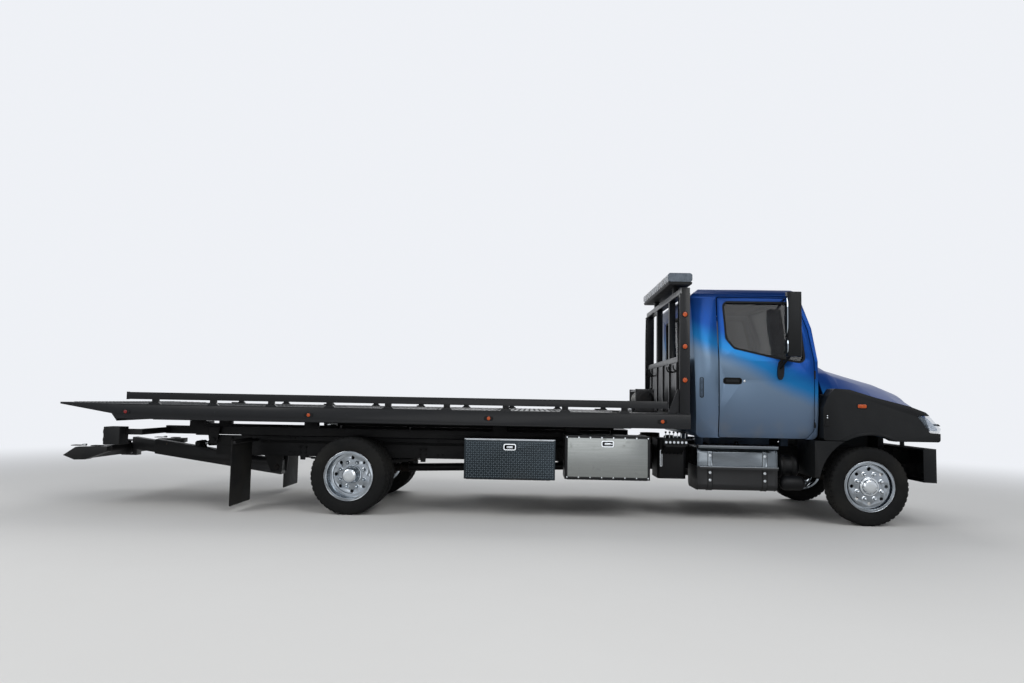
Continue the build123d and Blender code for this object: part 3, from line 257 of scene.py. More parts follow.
def cabPaint(look):
    paint = Paint("cabPaint", {"Coat Weight": 0.05, "Coat Roughness": 0.08, "Metallic": 0.4,
                               "Specular IOR Level": 0.05})
    height = paint.axis("Z")
    drift = paint.noise(1.6, 2.0) * 0.12 - 0.06
    start = look["lineHeight"] + look["fall"] * look["lineStart"]
    above = height + paint.axis("X") * look["fall"] - start + drift
    lower = paint.mix(height.ramp(0.9, 1.7), tint(look["silverLow"]), tint(look["silver"]))
    fade = paint.mix(above.ramp(-0.14, 0.07), lower, tint(look["band"]))
    top = paint.mix(height.ramp(2.1, 2.5), tint(look["deep"]), tint(look["roof"]))
    flake = paint.noise(900.0, 1.0)
    base = paint.mix(above.ramp(0.03, look["bandWidth"]), fade, top)
    film = (1 - height.ramp(0.9, 1.3)) * paint.noise(5.0, 5.0).ramp(0.4, 0.8) * 0.35
    paint.feed({"Base Color": paint.mix(film, base, tint("#6f6f6c")),
                "Roughness": flake * 0.08 + 0.27 + film * 0.4})
    paint.bump(paint.noise(180.0, 2.0), 0.04, 0.0004)
    return paint.material


# Step tanks: polished aluminium above; below the upper step a near-black painted shade, standing for the
# dark reflection of the shaded ground, replaces the metal
tankLook = {"top": "#6f757a", "bottom": "#0d0e10", "line": 0.583}


def tankFinish(look):
    paint = Paint("stepTankMetal", {})
    # Below the line the bottom colour, not metal, is painted shade: the dark reflection of the shaded ground
    upper = paint.axis("Z").ramp(look["line"] - 0.004, look["line"] + 0.004)
    lines = paint.noise(70.0, 4.0, (0.04, 1.0, 1.0))
    smear = paint.noise(3.0, 5.0, (0.6, 1.0, 3.0)).ramp(0.4, 0.85)
    bright = paint.mix(smear * 0.6, tint(look["top"]), tint("#34383b"))
    paint.feed({"Base Color": paint.mix(upper, tint(look["bottom"]), bright), "Metallic": upper * 0.98,
                "Roughness": 0.5 - upper * 0.34 + lines * 0.05 + smear * 0.07})
    paint.bump(lines, 0.07, 0.0006)
    return paint.material


# Tinted cab glass, see-through, with a light film of dust
def tintedGlass(name, colour, alpha):
    paint = Paint(name, {"Coat Weight": 0.05, "Coat Roughness": 0.01, "Specular IOR Level": 0.22})
    film = paint.noise(4.0, 5.0).ramp(0.45, 0.85)
    paint.feed({"Base Color": paint.mix(film * 0.12, tint(colour), tint("#5b6062")),
                "Roughness": film * 0.08 + 0.02, "Alpha": film * 0.05 + alpha})
    paint.bump(paint.noise(2.0, 1.0), 0.02, 0.002)
    return paint.material


# Tyre rubber with dusty flanks
def tyreRubber():
    paint = Paint("tyreRubber", {"Specular IOR Level": 0.15})
    dust = paint.noise(2.6, 5.0).ramp(0.42, 0.8) * 0.3 + paint.noise(60.0, 3.0) * 0.08
    paint.feed({"Base Color": paint.mix(dust, tint("#0f1011"), tint("#36342f")),
                "Roughness": paint.noise(22.0, 4.0) * 0.2 + 0.7})
    paint.bump(paint.noise(260.0, 3.0), 0.2, 0.0006)
    return paint.material


# Woven cloth: two crossed fine waves, with painted shade darkening the gaps between the threads
def seatCloth():
    paint = Paint("seatCloth", {"Sheen Weight": 0.3, "Sheen Roughness": 0.5})
    across, up, along = (paint.axis(letter).fold(0.004) * 250 for letter in "YZX")
    weave = across + up + along
    wear = paint.noise(7.0, 5.0)
    # The weave's low places, its gaps, get painted shade in the colour
    paint.feed({"Base Color": paint.mix(weave * 0.5 + wear * 0.3, tint("#16181b"), tint("#33373c")),
                "Roughness": wear * 0.15 + 0.8})
    paint.bump(weave, 0.4, 0.0015)
    return paint.material


# Steel wire rope: strands laid at an angle round the drum
def ropeSteel():
    paint = Paint("ropeSteel", {"Metallic": 0.9})
    strands = (paint.axis("Y") * 3.0 + paint.axis("Z") + paint.axis("X")).fold(0.012) * 160
    grime = paint.noise(40.0, 4.0).ramp(0.4, 0.7)
    paint.feed({"Base Color": paint.mix(grime * 0.6, tint("#8b8a86"), tint("#2d2a26")),
                "Roughness": grime * 0.3 + 0.35})
    paint.bump(strands, 0.7, 0.002)
    return paint.material


# Reflector seen through a clear lens: bright metal with faceted cells
def reflector():
    paint = Paint("reflectorMetal", {"Metallic": 1.0})
    facets = paint.cells(60.0)
    paint.feed({"Base Color": paint.mix(facets, tint("#e4e8ee"), tint("#8d97a6")),
                "Roughness": facets * 0.2 + 0.06})
    paint.bump(facets, 0.5, 0.004)
    return paint.material


# Finishes with a function of their own
finishes = {
    "cabPaint": cabPaint(cabPaintLook),
    "stepTank": tankFinish(tankLook),
    "glass": tintedGlass("tintedGlass", "#070b0f", 0.66),
    "screenGlass": tintedGlass("screenGlass", "#10161b", 0.55),
    "tyre": tyreRubber(),
    "cloth": seatCloth(),
    "rope": ropeSteel(),
    "reflector": reflector(),
    "clearLens": tintedGlass("clearLens", "#a9b8c8", 0.22),
}

# Paint, plastic, rubber and castings: the material's name and its look
dustyLooks = {
    "frameBlack": ("frameBlack", {"colour": "#0b0c0e", "rough": 0.5, "rub": 0.3}),
    "bedBlack": ("bedBlack", {"colour": "#0b0d10", "rough": 0.36, "coat": 0.12, "dust": 0.2, "dustTop": 1.3,
                              "rub": 0.25}),
    "deckSteel": ("deckSteel", {"colour": "#121416", "rough": 0.5, "dust": 0.6, "dustTop": 6.0, "rub": 0.6,
                                "rubScale": 9.0, "rubColour": "#4b4a47", "dustColour": "#3a3833"}),
    "boomBlack": ("boomBlack", {"colour": "#0c0d0f", "rough": 0.42, "coat": 0.08, "rub": 0.6,
                                "rubColour": "#4a4038", "rubScale": 17.0}),
    "plastic": ("blackPlastic", {"colour": "#0c0e10", "rough": 0.55, "grain": 900.0, "grainStrength": 0.3,
                                 "rub": 0.1, "dust": 0.15}),
    "rubber": ("rubberSheet", {"colour": "#0e0f10", "rough": 0.72, "grain": 300.0, "dust": 0.5, "rub": 0.1}),
    "cast": ("castIron", {"colour": "#131415", "rough": 0.68, "grain": 120.0, "grainStrength": 0.5,
                          "dust": 0.6, "dustColour": "#3d3128", "rubColour": "#4b3424", "rub": 0.4}),
    "engine": ("engineCasting", {"colour": "#26282a", "rough": 0.6, "grain": 140.0, "grainStrength": 0.5,
                                 "dust": 0.5, "metallic": 0.3}),
    "dash": ("dashPlastic", {"colour": "#17191c", "rough": 0.62, "grain": 700.0, "grainStrength": 0.35,
                             "dust": 0.2, "dustTop": 4.0}),
    "trim": ("cabTrim", {"colour": "#25282c", "rough": 0.7, "grain": 500.0, "grainStrength": 0.3,
                         "dust": 0.2, "dustTop": 4.0}),
    "treadPlate": ("treadPlate", {"colour": "#2b3237", "rough": 0.34, "metallic": 0.8, "dust": 0.3,
                                  "rub": 0.4, "rubColour": "#5a6064", "specular": 0.4}),
    "treadLug": ("treadLug", {"colour": "#5d676d", "rough": 0.3, "metallic": 0.85, "dust": 0.3, "rub": 0.5,
                              "rubColour": "#8b9296", "specular": 0.4}),
    "blankPlate": ("blankPlate", {"colour": "#c9ccd0", "rough": 0.4, "dust": 0.4, "rub": 0.1}),
}

# Bare metals
metalLooks = {
    "polish": ("polishedAluminium", {"colour": "#a8acb0", "lineColour": "#85898d", "rough": 0.14,
                                     "stain": 0.4}),
    "wheelMetal": ("wheelMetal", {"colour": "#a3a9af", "lineColour": "#8a9197", "rough": 0.09,
                                  "stretch": (1.0, 1.0, 1.0), "lineScale": 26.0, "stain": 0.3}),
    "mirrorSteel": ("mirrorSteel", {"colour": "#8d908f", "lineColour": "#777a78", "rough": 0.04,
                                    "cloud": 0.08, "stain": 0.4, "stainColour": "#50514d", "wave": 8.0,
                                    "bump": 0.05}),
    "chrome": ("chromeRod", {"colour": "#d5d9dc", "lineColour": "#c2c7cb", "rough": 0.06, "stain": 0.2}),
    "exhaustSteel": ("exhaustSteel", {"colour": "#5f5950", "lineColour": "#463f37", "rough": 0.4,
                                      "stain": 0.8, "stainColour": "#54382a"}),
    "mirrorGlass": ("mirrorGlass", {"colour": "#b4bec7", "lineColour": "#aeb8c1", "rough": 0.02,
                                    "cloud": 0.03, "stain": 0.1, "bump": 0.01}),
}

# Moulded lenses
lensLooks = {
    "amberLens": ("amberLens", {"colour": "#c4520a", "deep": "#8a3004", "clear": 0.1, "glow": 0.05}),
    "redLens": ("redLens", {"colour": "#9a0e0e", "deep": "#4a0404", "clear": 0.15, "glow": 0.03}),
    "whiteLens": ("whiteLens", {"colour": "#cfd5dc", "deep": "#9aa4b0", "clear": 0.35, "flute": 0.02}),
    "barLens": ("barLens", {"colour": "#808b97", "deep": "#48525d", "clear": 0.35, "flute": 0.03}),
    "barDark": ("barDark", {"colour": "#23282e", "deep": "#0d0f12", "clear": 0.1, "flute": 0.02}),
}
for make, looks in ((dustyPaint, dustyLooks), (barePolish, metalLooks), (lens, lensLooks)):
    for key, (name, look) in looks.items():
        finishes[key] = make(name, look)
print("finishes made,", len(finishes))


# Shapes are pairs of points and faces, worked out as whole arrays
def gridFaces(rows, columns, closeRows, closeColumns):
    # Quads between neighbours of a grid, which may close on itself either way
    row, column = np.meshgrid(np.arange(rows - (not closeRows)), np.arange(columns - (not closeColumns)),
                              indexing="ij")
    nextRow, nextColumn = (row + 1) % rows, (column + 1) % columns
    corners = (row * columns + column, row * columns + nextColumn, nextRow * columns + nextColumn,
               nextRow * columns + column)
    return np.stack(corners, -1).reshape(-1, 4).tolist()


def surface(points, closeRows=False, closeColumns=False):
    # A grid of points, rows by columns, with its quads
    return points.reshape(-1, 3), gridFaces(*points.shape[:2], closeRows, closeColumns)


def join(*shapes):
    # Several shapes as one: later faces count on from the earlier points
    points, faces, start = [], [], 0
    for shapePoints, shapeFaces in shapes:
        points.append(shapePoints)
        faces += [[index + start for index in face] for face in shapeFaces]
        start += len(shapePoints)
    return np.concatenate(points), faces


def copies(shape, places):
    # The same shape at each offset
    points, faces = shape
    places = np.array(places, float).reshape(-1, 3)
    spread = (points[None] + places[:, None]).reshape(-1, 3)
    return spread, [[index + len(points) * copy for index in face] for copy in range(len(places))
                    for face in faces]


def flip(shape):
    # The same shape on the other side of the vehicle
    points, faces = shape
    return points * (1, -1, 1), [face[::-1] for face in faces]


def onSide(shape, side):
    return shape if side > 0 else flip(shape)


def both(shape):
    return join(shape, flip(shape))


def spun(shape, centre, axis, angles):
    # Copies turned about a line through centre: each point goes round by Rodrigues' formula
    points, faces = shape
    axis = np.array(axis, float)
    arm = points - np.array(centre)
    turn = np.array(angles, float)[:, None, None]
    lifted = np.cross(axis, arm)
    along = (arm @ axis)[:, None] * axis
    spread = arm * np.cos(turn) + lifted * np.sin(turn) + along * (1 - np.cos(turn)) + np.array(centre)
    return (spread.reshape(-1, 3), [[index + len(points) * copy for index in face]
                                    for copy in range(len(angles)) for face in faces])


def prism(outline, low, high, axis=1):
    # A closed outline carried straight from low to high along one axis
    outline = np.array(outline, float)
    count = len(outline)
    plane = [place for place in range(3) if place != axis]
    points = np.zeros((2, count, 3))
    points[..., plane] = outline
    points[0, :, axis], points[1, :, axis] = low, high
    walls = [[k, (k + 1) % count, count + (k + 1) % count, count + k] for k in range(count)]
    return points.reshape(-1, 3), walls + [list(range(count))[::-1], list(range(count, 2 * count))]


def block(low, high):
    # A box between two opposite corners
    return prism(((low[0], low[2]), (high[0], low[2]), (high[0], high[2]), (low[0], high[2])), low[1],
                 high[1])


def lathe(profile, centre, segments=48, axis=alongY, loop=False):
    # Each profile point, a distance along the axis and a radius, is carried round the axis
    profile = np.array(profile, float)
    axis = np.array(axis, float) / np.linalg.norm(axis)
    across = np.cross(axis, alongZ if abs(axis[2]) < 0.9 else alongX)
    across /= np.linalg.norm(across)
    angle = np.linspace(0, 2 * math.pi, segments, endpoint=False)[:, None]
    spokes = np.cos(angle) * across + np.sin(angle) * np.cross(axis, across)
    points = np.array(centre) + profile[None, :, :1] * axis + profile[None, :, 1:] * spokes[:, None, :]
    return surface(points, True, loop)


def sweep(path, section, normal, closed=False):
    # A section of (sideways, out) offsets carried along a path; normal is square to the path
    path, section = np.array(path, float), np.array(section, float)
    if closed:
        heading = np.roll(path, -1, 0) - np.roll(path, 1, 0)
    else:
        heading = np.gradient(path, axis=0)
    heading /= np.linalg.norm(heading, axis=1, keepdims=True)
    sideways = np.cross(heading, np.array(normal, float))
    sideways /= np.linalg.norm(sideways, axis=1, keepdims=True)
    out = np.cross(sideways, heading)
    points = path[:, None] + section[None, :, :1] * sideways[:, None] + section[None, :, 1:] * out[:, None]
    shape = surface(points, closed, True)
    if closed:
        return shape
    count = len(section)
    last = (len(path) - 1) * count
    return shape[0], shape[1] + [list(range(count)), [last + k for k in range(count)][::-1]]


def tube(path, radius, normal, sides=8, closed=False):
    # A round section carried along a path
    angle = np.linspace(0, 2 * math.pi, sides, endpoint=False)
    return sweep(path, np.stack([np.cos(angle), np.sin(angle)], -1) * radius, normal, closed)


def rounded(points, times=2, closed=True):
    # Corner cutting: every side gives points at its first and last quarter
    points = np.array(points, float)
    for _ in range(times):
        after = np.roll(points, -1, 0)
        cut = np.stack([points * 0.75 + after * 0.25, points * 0.25 + after * 0.75],
                       1).reshape(-1, points.shape[1])
        points = cut if closed else np.concatenate([points[:1], cut[:-2], points[-1:]])
    return points


def arc(centre, radius, start, end, count):
    # Points (a, b) on a circle, from one angle to another in degrees
    angle = np.radians(np.linspace(start, end, count))
    return np.stack([centre[0] + radius * np.cos(angle), centre[1] + radius * np.sin(angle)], -1)


def filleted(points, radius, steps=6):
    # Each corner gives an arc that touches both its sides at radius / tan(half the corner's angle) from it
    points = np.array(points, float)
    back, ahead = np.roll(points, 1, 0) - points, np.roll(points, -1, 0) - points
    back /= np.linalg.norm(back, axis=1, keepdims=True)
    ahead /= np.linalg.norm(ahead, axis=1, keepdims=True)
    half = np.arccos(np.clip((back * ahead).sum(1), -1, 1))[:, None] / 2
    inward = (back + ahead) / np.linalg.norm(back + ahead, axis=1, keepdims=True)
    centre = points + inward * radius / np.sin(half)
    first = (points + back * radius / np.tan(half) - centre)[:, None]
    last = (points + ahead * radius / np.tan(half) - centre)[:, None]
    turn, share = (math.pi - 2 * half)[:, None], np.linspace(0, 1, steps)[None, :, None]
    bend = (first * np.sin((1 - share) * turn) + last * np.sin(share * turn)) / np.sin(turn)
    return (centre[:, None] + bend).reshape(-1, points.shape[1])


def inset(points, distance):
    # Each side of a closed outline moves inward by the distance, and neighbouring sides meet again
    points = np.array(points, float)
    ahead = np.roll(points, -1, 0) - points
    area = (points[:, 0] * np.roll(points[:, 1], -1) - points[:, 1] * np.roll(points[:, 0], -1)).sum()
    ahead /= np.linalg.norm(ahead, axis=1, keepdims=True)
    inward = np.stack([-ahead[:, 1], ahead[:, 0]], -1) * np.sign(area)
    before = np.roll(inward, 1, 0)
    return points + (inward + before) * distance / (1 + (inward * before).sum(1, keepdims=True))


def oblong(x0, z0, x1, z1, radius=0.0, steps=6):
    # A rectangle between two corners, with its own corners rounded
    corners = ((x0, z0), (x1, z0), (x1, z1), (x0, z1))
    return filleted(corners, radius, steps) if radius else np.array(corners, float)


def flat(outline, depth, axis=1):
    # (a, b) points placed at one depth along an axis
    return np.insert(np.array(outline, float), axis, depth, axis=1)


def loops(*rings):
    # Closed rings of as many points, joined one to the next and the last to the first
    return surface(np.stack(rings, 1), True, True)


def ring(outer, inner, low, high, axis=1):
    # The frame between two outlines with as many points, from low to high along an axis
    return loops(flat(outer, low, axis), flat(outer, high, axis), flat(inner, high, axis),
                 flat(inner, low, axis))


def border(x0, z0, x1, z1, cut, outer, inner, low, high, axis=1):
    # A rounded rectangle that is open where the same rectangle, drawn in by the cut, lies
    hole = oblong(x0 + cut, z0 + cut, x1 - cut, z1 - cut, inner)
    return ring(oblong(x0, z0, x1, z1, outer), hole, low, high, axis)


def lofted(*rings):
    # Rings of as many points joined in turn, with the first and the last filled
    count, last = len(rings[0]), (len(rings) - 1) * len(rings[0])
    points, faces = surface(np.stack(rings), False, True)
    return points, faces + [list(range(count))[::-1], [last + k for k in range(count)]]


def boltHead(axis, radius=0.011, height=0.009):
    # A six-sided head with a cut rim, on a round washer
    head = lathe(((0, 0), (0, radius), (height * 0.8, radius), (height, radius * 0.8), (height, 0)),
                 (0, 0, 0), 6, axis)
    washer = rod(-0.003, 0.001, radius * 1.45, (0, 0, 0), 12, axis)
    return join(head, washer)


def bolted(axis, radius, height, places):
    # The same bolt head at each place
    return copies(boltHead(axis, radius, height), places)


def rod(start, end, radius, centre, segments, axis=alongY):
    # A round bar between two distances along its axis
    return lathe(((start, 0), (start, radius), (end, radius), (end, 0)), centre, segments, axis)


def band(start, end, inner, outer, centre, segments, axis):
    # A square-edged hoop between two distances along its axis
    return lathe(((start, inner), (start, outer), (end, outer), (end, inner)), centre, segments, axis, True)


def tapered(wide, low, narrow, high):
    # A symmetric outline: one half width at its low side and another at its high side
    return (-wide, low), (wide, low), (narrow, high), (-narrow, high)


def evenly(count):
    # Angles that share a full turn
    return np.arange(count) * 2 * math.pi / count


def paired(parts):
    # Shapes made for the left side, on both
    return [(both(shape), finish) for shape, finish in parts]


def onHand(parts, side):
    # Shapes made for the left side, on the side that is asked for
    return [(onSide(shape, side), finish) for shape, finish in parts]


def welded(points, faces):
    # Points in the same place become one, and a face drops its repeats
    first, place = np.unique(np.round(points, 6), axis=0, return_index=True, return_inverse=True)[1:]
    place = place.reshape(-1)
    kept = []
    for face in faces:
        corners = [int(place[index]) for index in face]
        corners = [index for spot, index in enumerate(corners) if index != corners[spot - 1]]
        if len(corners) > 2:
            kept.append(corners)
    return points[first], kept


def piece(name, body, parts, bevel=0.0, smooth=35):
    # One object from pairs of a shape and a finish's name, riding on a body
    points, faces, picks, names, start = [], [], [], [], 0
    for shape, finish in parts:
        shapePoints, shapeFaces = welded(*shape)
        if finish not in names:
            names.append(finish)
        points.append(shapePoints)
        faces += [[index + start for index in face] for face in shapeFaces]
        picks += [names.index(finish)] * len(shapeFaces)
        start += len(shapePoints)
    mesh = bpy.data.meshes.new(name)
    mesh.from_pydata(np.concatenate(points).tolist(), [], faces)
    mesh.polygons.foreach_set("material_index", picks)
    work = bmesh.new()
    work.from_mesh(mesh)
    bmesh.ops.recalc_face_normals(work, faces=work.faces)
    work.to_mesh(mesh)
    work.free()
    for finish in names:
        mesh.materials.append(finishes[finish])
    return settle(name, mesh, body, bevel, smooth)


def settle(name, mesh, body, bevel, smooth, segments=2):
    # The object itself, with rounded edges or marked sharp ones, on its body
    made = bpy.data.objects.new(name, mesh)
    bpy.context.scene.collection.objects.link(made)
    mesh.polygons.foreach_set("use_smooth", [True] * len(mesh.polygons))
    if bevel:
        modifier = made.modifiers.new("edges", "BEVEL")
        modifier.width = bevel
        modifier.segments = segments
        modifier.limit_method = "ANGLE"
        modifier.angle_limit = math.radians(smooth)
        modifier.harden_normals = True
    else:
        mesh.set_sharp_from_angle(angle=math.radians(smooth))
    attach(made, body)
    return made


def soften(node, finish, bevel, smooth=32):
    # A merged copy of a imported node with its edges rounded, which stands for it
    source = frame["nodes"][node]
    work = bmesh.new()
    work.from_mesh(source.data)
    bmesh.ops.remove_doubles(work, verts=work.verts, dist=1e-5)
    bmesh.ops.dissolve_limit(work, angle_limit=math.radians(0.4), verts=work.verts, edges=work.edges)
    mesh = bpy.data.meshes.new(node + "_soft")
    work.to_mesh(mesh)
    work.free()
    mesh.materials.clear()
    mesh.materials.append(finishes[finish])
    mesh.polygons.foreach_set("material_index", [0] * len(mesh.polygons))
    made = settle(node + "_soft", mesh, source["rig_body"], bevel, smooth)
    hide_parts(node)
    return made


def dress(node, finish):
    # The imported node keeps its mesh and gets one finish
    mesh = frame["nodes"][node].data
    mesh.materials.clear()
    mesh.materials.append(finishes[finish])


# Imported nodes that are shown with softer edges: finish and edge width
softNodes = {
    "cab_shell": ("cabPaint", 0.01), "door_left": ("cabPaint", 0.006), "door_right": ("cabPaint", 0.006),
    "hood": ("cabPaint", 0.008), "fenders": ("plastic", 0.01), "bumper": ("plastic", 0.014),
    "grille": ("plastic", 0.004), "splash_guards": ("plastic", 0.004),
    "chassis_frame": ("frameBlack", 0.003), "tilt_frame": ("frameBlack", 0.003),
    "bed_deck": ("bedBlack", 0.003), "bed_side_rails": ("bedBlack", 0.005),
    "headboard": ("bedBlack", 0.005), "winch_frame": ("bedBlack", 0.004), "step_tanks": ("stepTank", 0.006),
    "hydraulic_tank": ("frameBlack", 0.006), "toolboxes_rear": ("treadPlate", 0.003),
    "toolboxes_front": ("bedBlack", 0.003), "mud_flaps": ("rubber", 0.002),
    "tail_lamps": ("plastic", 0.006), "lift_boom": ("boomBlack", 0.004),
    "lift_boom_inner": ("boomBlack", 0.003), "lift_crossbar": ("boomBlack", 0.006),
    "front_axle": ("cast", 0.006), "rear_axle": ("cast", 0.006), "engine_block": ("engine", 0.012),
    "steering_knuckle_left": ("cast", 0.004), "steering_knuckle_right": ("cast", 0.004),
    "mirror_left": ("plastic", 0.008), "mirror_right": ("plastic", 0.008), "dashboard": ("dash", 0.008),
    "leaf_springs": ("cast", 0.001), "exhaust": ("exhaustSteel", 0.003),
    "toolbox_door_rear_left": ("treadPlate", 0.003), "toolbox_door_rear_right": ("treadPlate", 0.003),
    "toolbox_door_front_left": ("bedBlack", 0.003), "toolbox_door_front_right": ("bedBlack", 0.003),
    "front_wheel_left": ("wheelMetal", 0.0015), "front_wheel_right": ("wheelMetal", 0.0015),
    "rear_wheels_left": ("wheelMetal", 0.0015), "rear_wheels_right": ("wheelMetal", 0.0015),
}
plainNodes = {
    "cab_glass": "screenGlass", "door_glass_left": "glass", "door_glass_right": "glass",
    "driveshaft": "frameBlack", "tilt_cylinder_barrels": "frameBlack", "slide_cylinder_barrel": "frameBlack",
    "lift_cylinder_barrel": "frameBlack", "tilt_cylinder_rods": "chrome", "slide_cylinder_rod": "chrome",
    "lift_cylinder_rod": "chrome", "winch_drum": "bedBlack",
}
for node, (finish, edge) in softNodes.items():
    soften(node, finish, edge)
for node, finish in plainNodes.items():
    dress(node, finish)
print("packed nodes dressed")

# Tyres: half width of the tread, groove places and depth, and how many lugs go round
tyreLook = {"bead": 0.2513, "radius": frontAxle.z, "crown": 0.088, "grooves": (-0.056, -0.019, 0.019, 0.056),
            "grooveWidth": 0.0045, "depth": 0.011, "pitches": 44, "steps": 6, "zigzag": 0.004}


def tyreShape(look, centreY, axleX):
    # The flank curves from bead to shoulder; the crown drops wherever a groove or a shoulder cut runs
    bead, radius, crown = look["bead"], look["radius"], look["crown"]
    flank = rounded(((0.0945, bead), (0.0945, bead + 0.016), (0.104, bead + 0.024), (0.117, bead + 0.052),
                     (0.121, bead + 0.084), (0.119, radius - 0.04), (0.109, radius - 0.013),
                     (crown, radius - 0.0005)), 2, False)
    tread = np.stack([np.linspace(crown - 0.003, -crown + 0.003, 49), np.full(49, radius)], -1)
    profile = np.concatenate([flank, tread, (flank * (-1, 1))[::-1], [[-0.0947, bead], [0.0947, bead]]])
    count = look["pitches"] * look["steps"]
    turn = np.linspace(0, 2 * math.pi, count, endpoint=False)[:, None]
    across, reach = profile[None, :, 0], profile[None, :, 1] + turn * 0
    wave = np.abs((turn * look["pitches"] / math.pi) % 2 - 1) * 2 - 1
    drop = np.zeros_like(reach)
    for groove in look["grooves"]:
        gap = np.abs(across - groove - wave * look["zigzag"])
        drop = np.maximum(drop, np.clip(1.7 - gap / look["grooveWidth"], 0, 1))
    phase = (turn * look["pitches"] / (2 * math.pi)) % 1
    cut = (phase < 0.3) & (np.abs(across) > 0.066) & (reach > radius - 0.016)
    drop = np.maximum(drop, cut * 0.8)
    drop = np.where(reach > radius - 0.02, drop, 0)
    reach = reach - drop * look["depth"]
    ridge = np.exp(-((reach - bead - 0.088) / 0.002) ** 2) * 0.0015
    across = across * (1 + ridge * 8)
    points = np.stack([axleX + np.cos(turn) * reach, centreY + across + turn * 0,
                       radius + np.sin(turn) * reach], -1)
    return surface(points, True, True)


twinY = [middle("rear_tyres_right").y * -1 + offset for offset in (0.1425, -0.1425)]
for sideName, side in sides:
    front = piece("front_tyre_tread_" + sideName, "wheel_front_" + sideName,
                  [(tyreShape(tyreLook, side * abs(frontAxle.y), frontAxle.x), "tyre")], smooth=50)
    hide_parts("front_tyre_" + sideName)
    rear = piece("rear_tyre_tread_" + sideName, "wheels_rear_" + sideName,
                 [(tyreShape(tyreLook, side * twin, rearAxle.x), "tyre") for twin in twinY],
                 smooth=50)
    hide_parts("rear_tyres_" + sideName)
print("tyres made")

# Studs, nuts, hub caps and valves. Distances go out from the wheel's middle.
hubLook = {"studCircle": 0.1375, "studs": 8, "nutRadius": 0.0185, "frontFace": 0.08, "rearFace": -0.09,
           "frontCap": 0.125, "rearCap": 0.07, "capScrews": 8}


def hubShapes(look, hub, side, face, cap):
    # Domed nuts and cap screws share the full turn round the wheel's line; the cap is lathed on it
    out = (0, side, 0)
    radius = look["nutRadius"]
    dome = ((0, radius + 0.0005), (0.012, radius), (0.03, 0.016), (0.042, 0.01), (0.046, 0.0))
    first = (hub[0] + look["studCircle"], hub[1] + side * face, hub[2])
    nut = join(lathe(((0.0, 0), (0.0, 0.024), (0.004, 0.024), (0.006, radius + 0.0005)), first, 16, out),
               lathe(dome, (first[0], first[1] + side * 0.004, first[2]), 12, out))
    nuts = spun(nut, hub, alongY, math.pi / look["studs"] + evenly(look["studs"]))
    capLine = rounded(((face + 0.012, 0.1), (face + 0.02, 0.096), (cap - 0.03, 0.08), (cap - 0.01, 0.074),
                       (cap - 0.001, 0.058), (cap, 0.03), (cap, 0.0)), 2, False)
    capShape = lathe(capLine, hub, 40, out)
    screws = spun(bolted(out, 0.006, 0.005, [(hub[0] + 0.064, hub[1] + side * (cap - 0.008), hub[2])]),
                  hub, alongY, evenly(look["capScrews"]))
    stem = ((0.004, 0.205), (0.03, 0.2), (0.055, 0.192))
    valve = tube([(hub[0], hub[1] + side * (face + out), hub[2] + up) for out, up in stem], 0.004, alongX, 8)
    return [(nuts, "chrome"), (capShape, "chrome"), (screws, "polish"), (valve, "rubber")]


def rimLip(centre, side, reach, radius=0.262):
    # A rolled bright edge where the tyre meets the rim
    loop = arc((reach, radius), 0.0045, 0, 360, 9)[:-1]
    return lathe(loop, centre, 72, (0, side, 0), True)


for sideName, side in sides:
    hub = (frontAxle.x, side * abs(frontAxle.y), frontAxle.z)
    parts = hubShapes(hubLook, hub, side, hubLook["frontFace"], hubLook["frontCap"] + 0.003)
    piece("front_hub_trim_" + sideName, "wheel_front_" + sideName,
          parts + [(rimLip(hub, side, 0.1005), "polish")], smooth=45)
    hub = (rearAxle.x, side * twinY[0], rearAxle.z)
    parts = hubShapes(hubLook, hub, side, hubLook["rearFace"], hubLook["rearCap"] + 0.003)
    piece("rear_hub_trim_" + sideName, "wheels_rear_" + sideName,
          parts + [(rimLip(hub, side, 0.1005), "polish")], smooth=45)
print("wheels dressed")

# Cab outside: half width by height, used to lay trim on the doors and the roof's edge
cabSide = {"heights": (0.89, 1.15, 1.5, 1.72, 2.4065, 2.4376, 2.4641, 2.4925, 2.514, 2.5241),
           "halves": (1.05, 1.096, 1.1, 1.094, 0.9662, 0.9554, 0.9359, 0.9075, 0.8771, 0.8413)}


def sideHalf(height):
    # Half width of the cab by height, straight between the listed heights
    return np.interp(height, cabSide["heights"], cabSide["halves"])


def onCab(outline, proud):
    # (x, z) points laid on the cab's left side, standing proud of it
    outline = np.array(outline, float)
    return np.stack([outline[:, 0], sideHalf(outline[:, 1]) + proud, outline[:, 1]], -1)


# Door: its outline, the window in it, the handle's pocket and the arm rest
doorLook = {"outline": ((doorRear, 0.89), (doorFront - 0.075, 0.89), (doorFront, 0.976), (doorFront, 1.735),
                        (doorFront - 0.046, 2.06), (doorFront - 0.16, 2.427), (doorRear, 2.427)),
            "window": ((doorRear + 0.067, 2.372), (doorRear + 0.088, 1.958), (doorRear + 0.169, 1.854),
                       (doorRear + 0.69, 1.734), (doorFront - 0.096, 1.702), (doorFront - 0.118, 2.06),
                       (doorFront - 0.212, 2.372)),
            "pull": doorRear + 0.05, "armrest": (1.33, 1.41)}


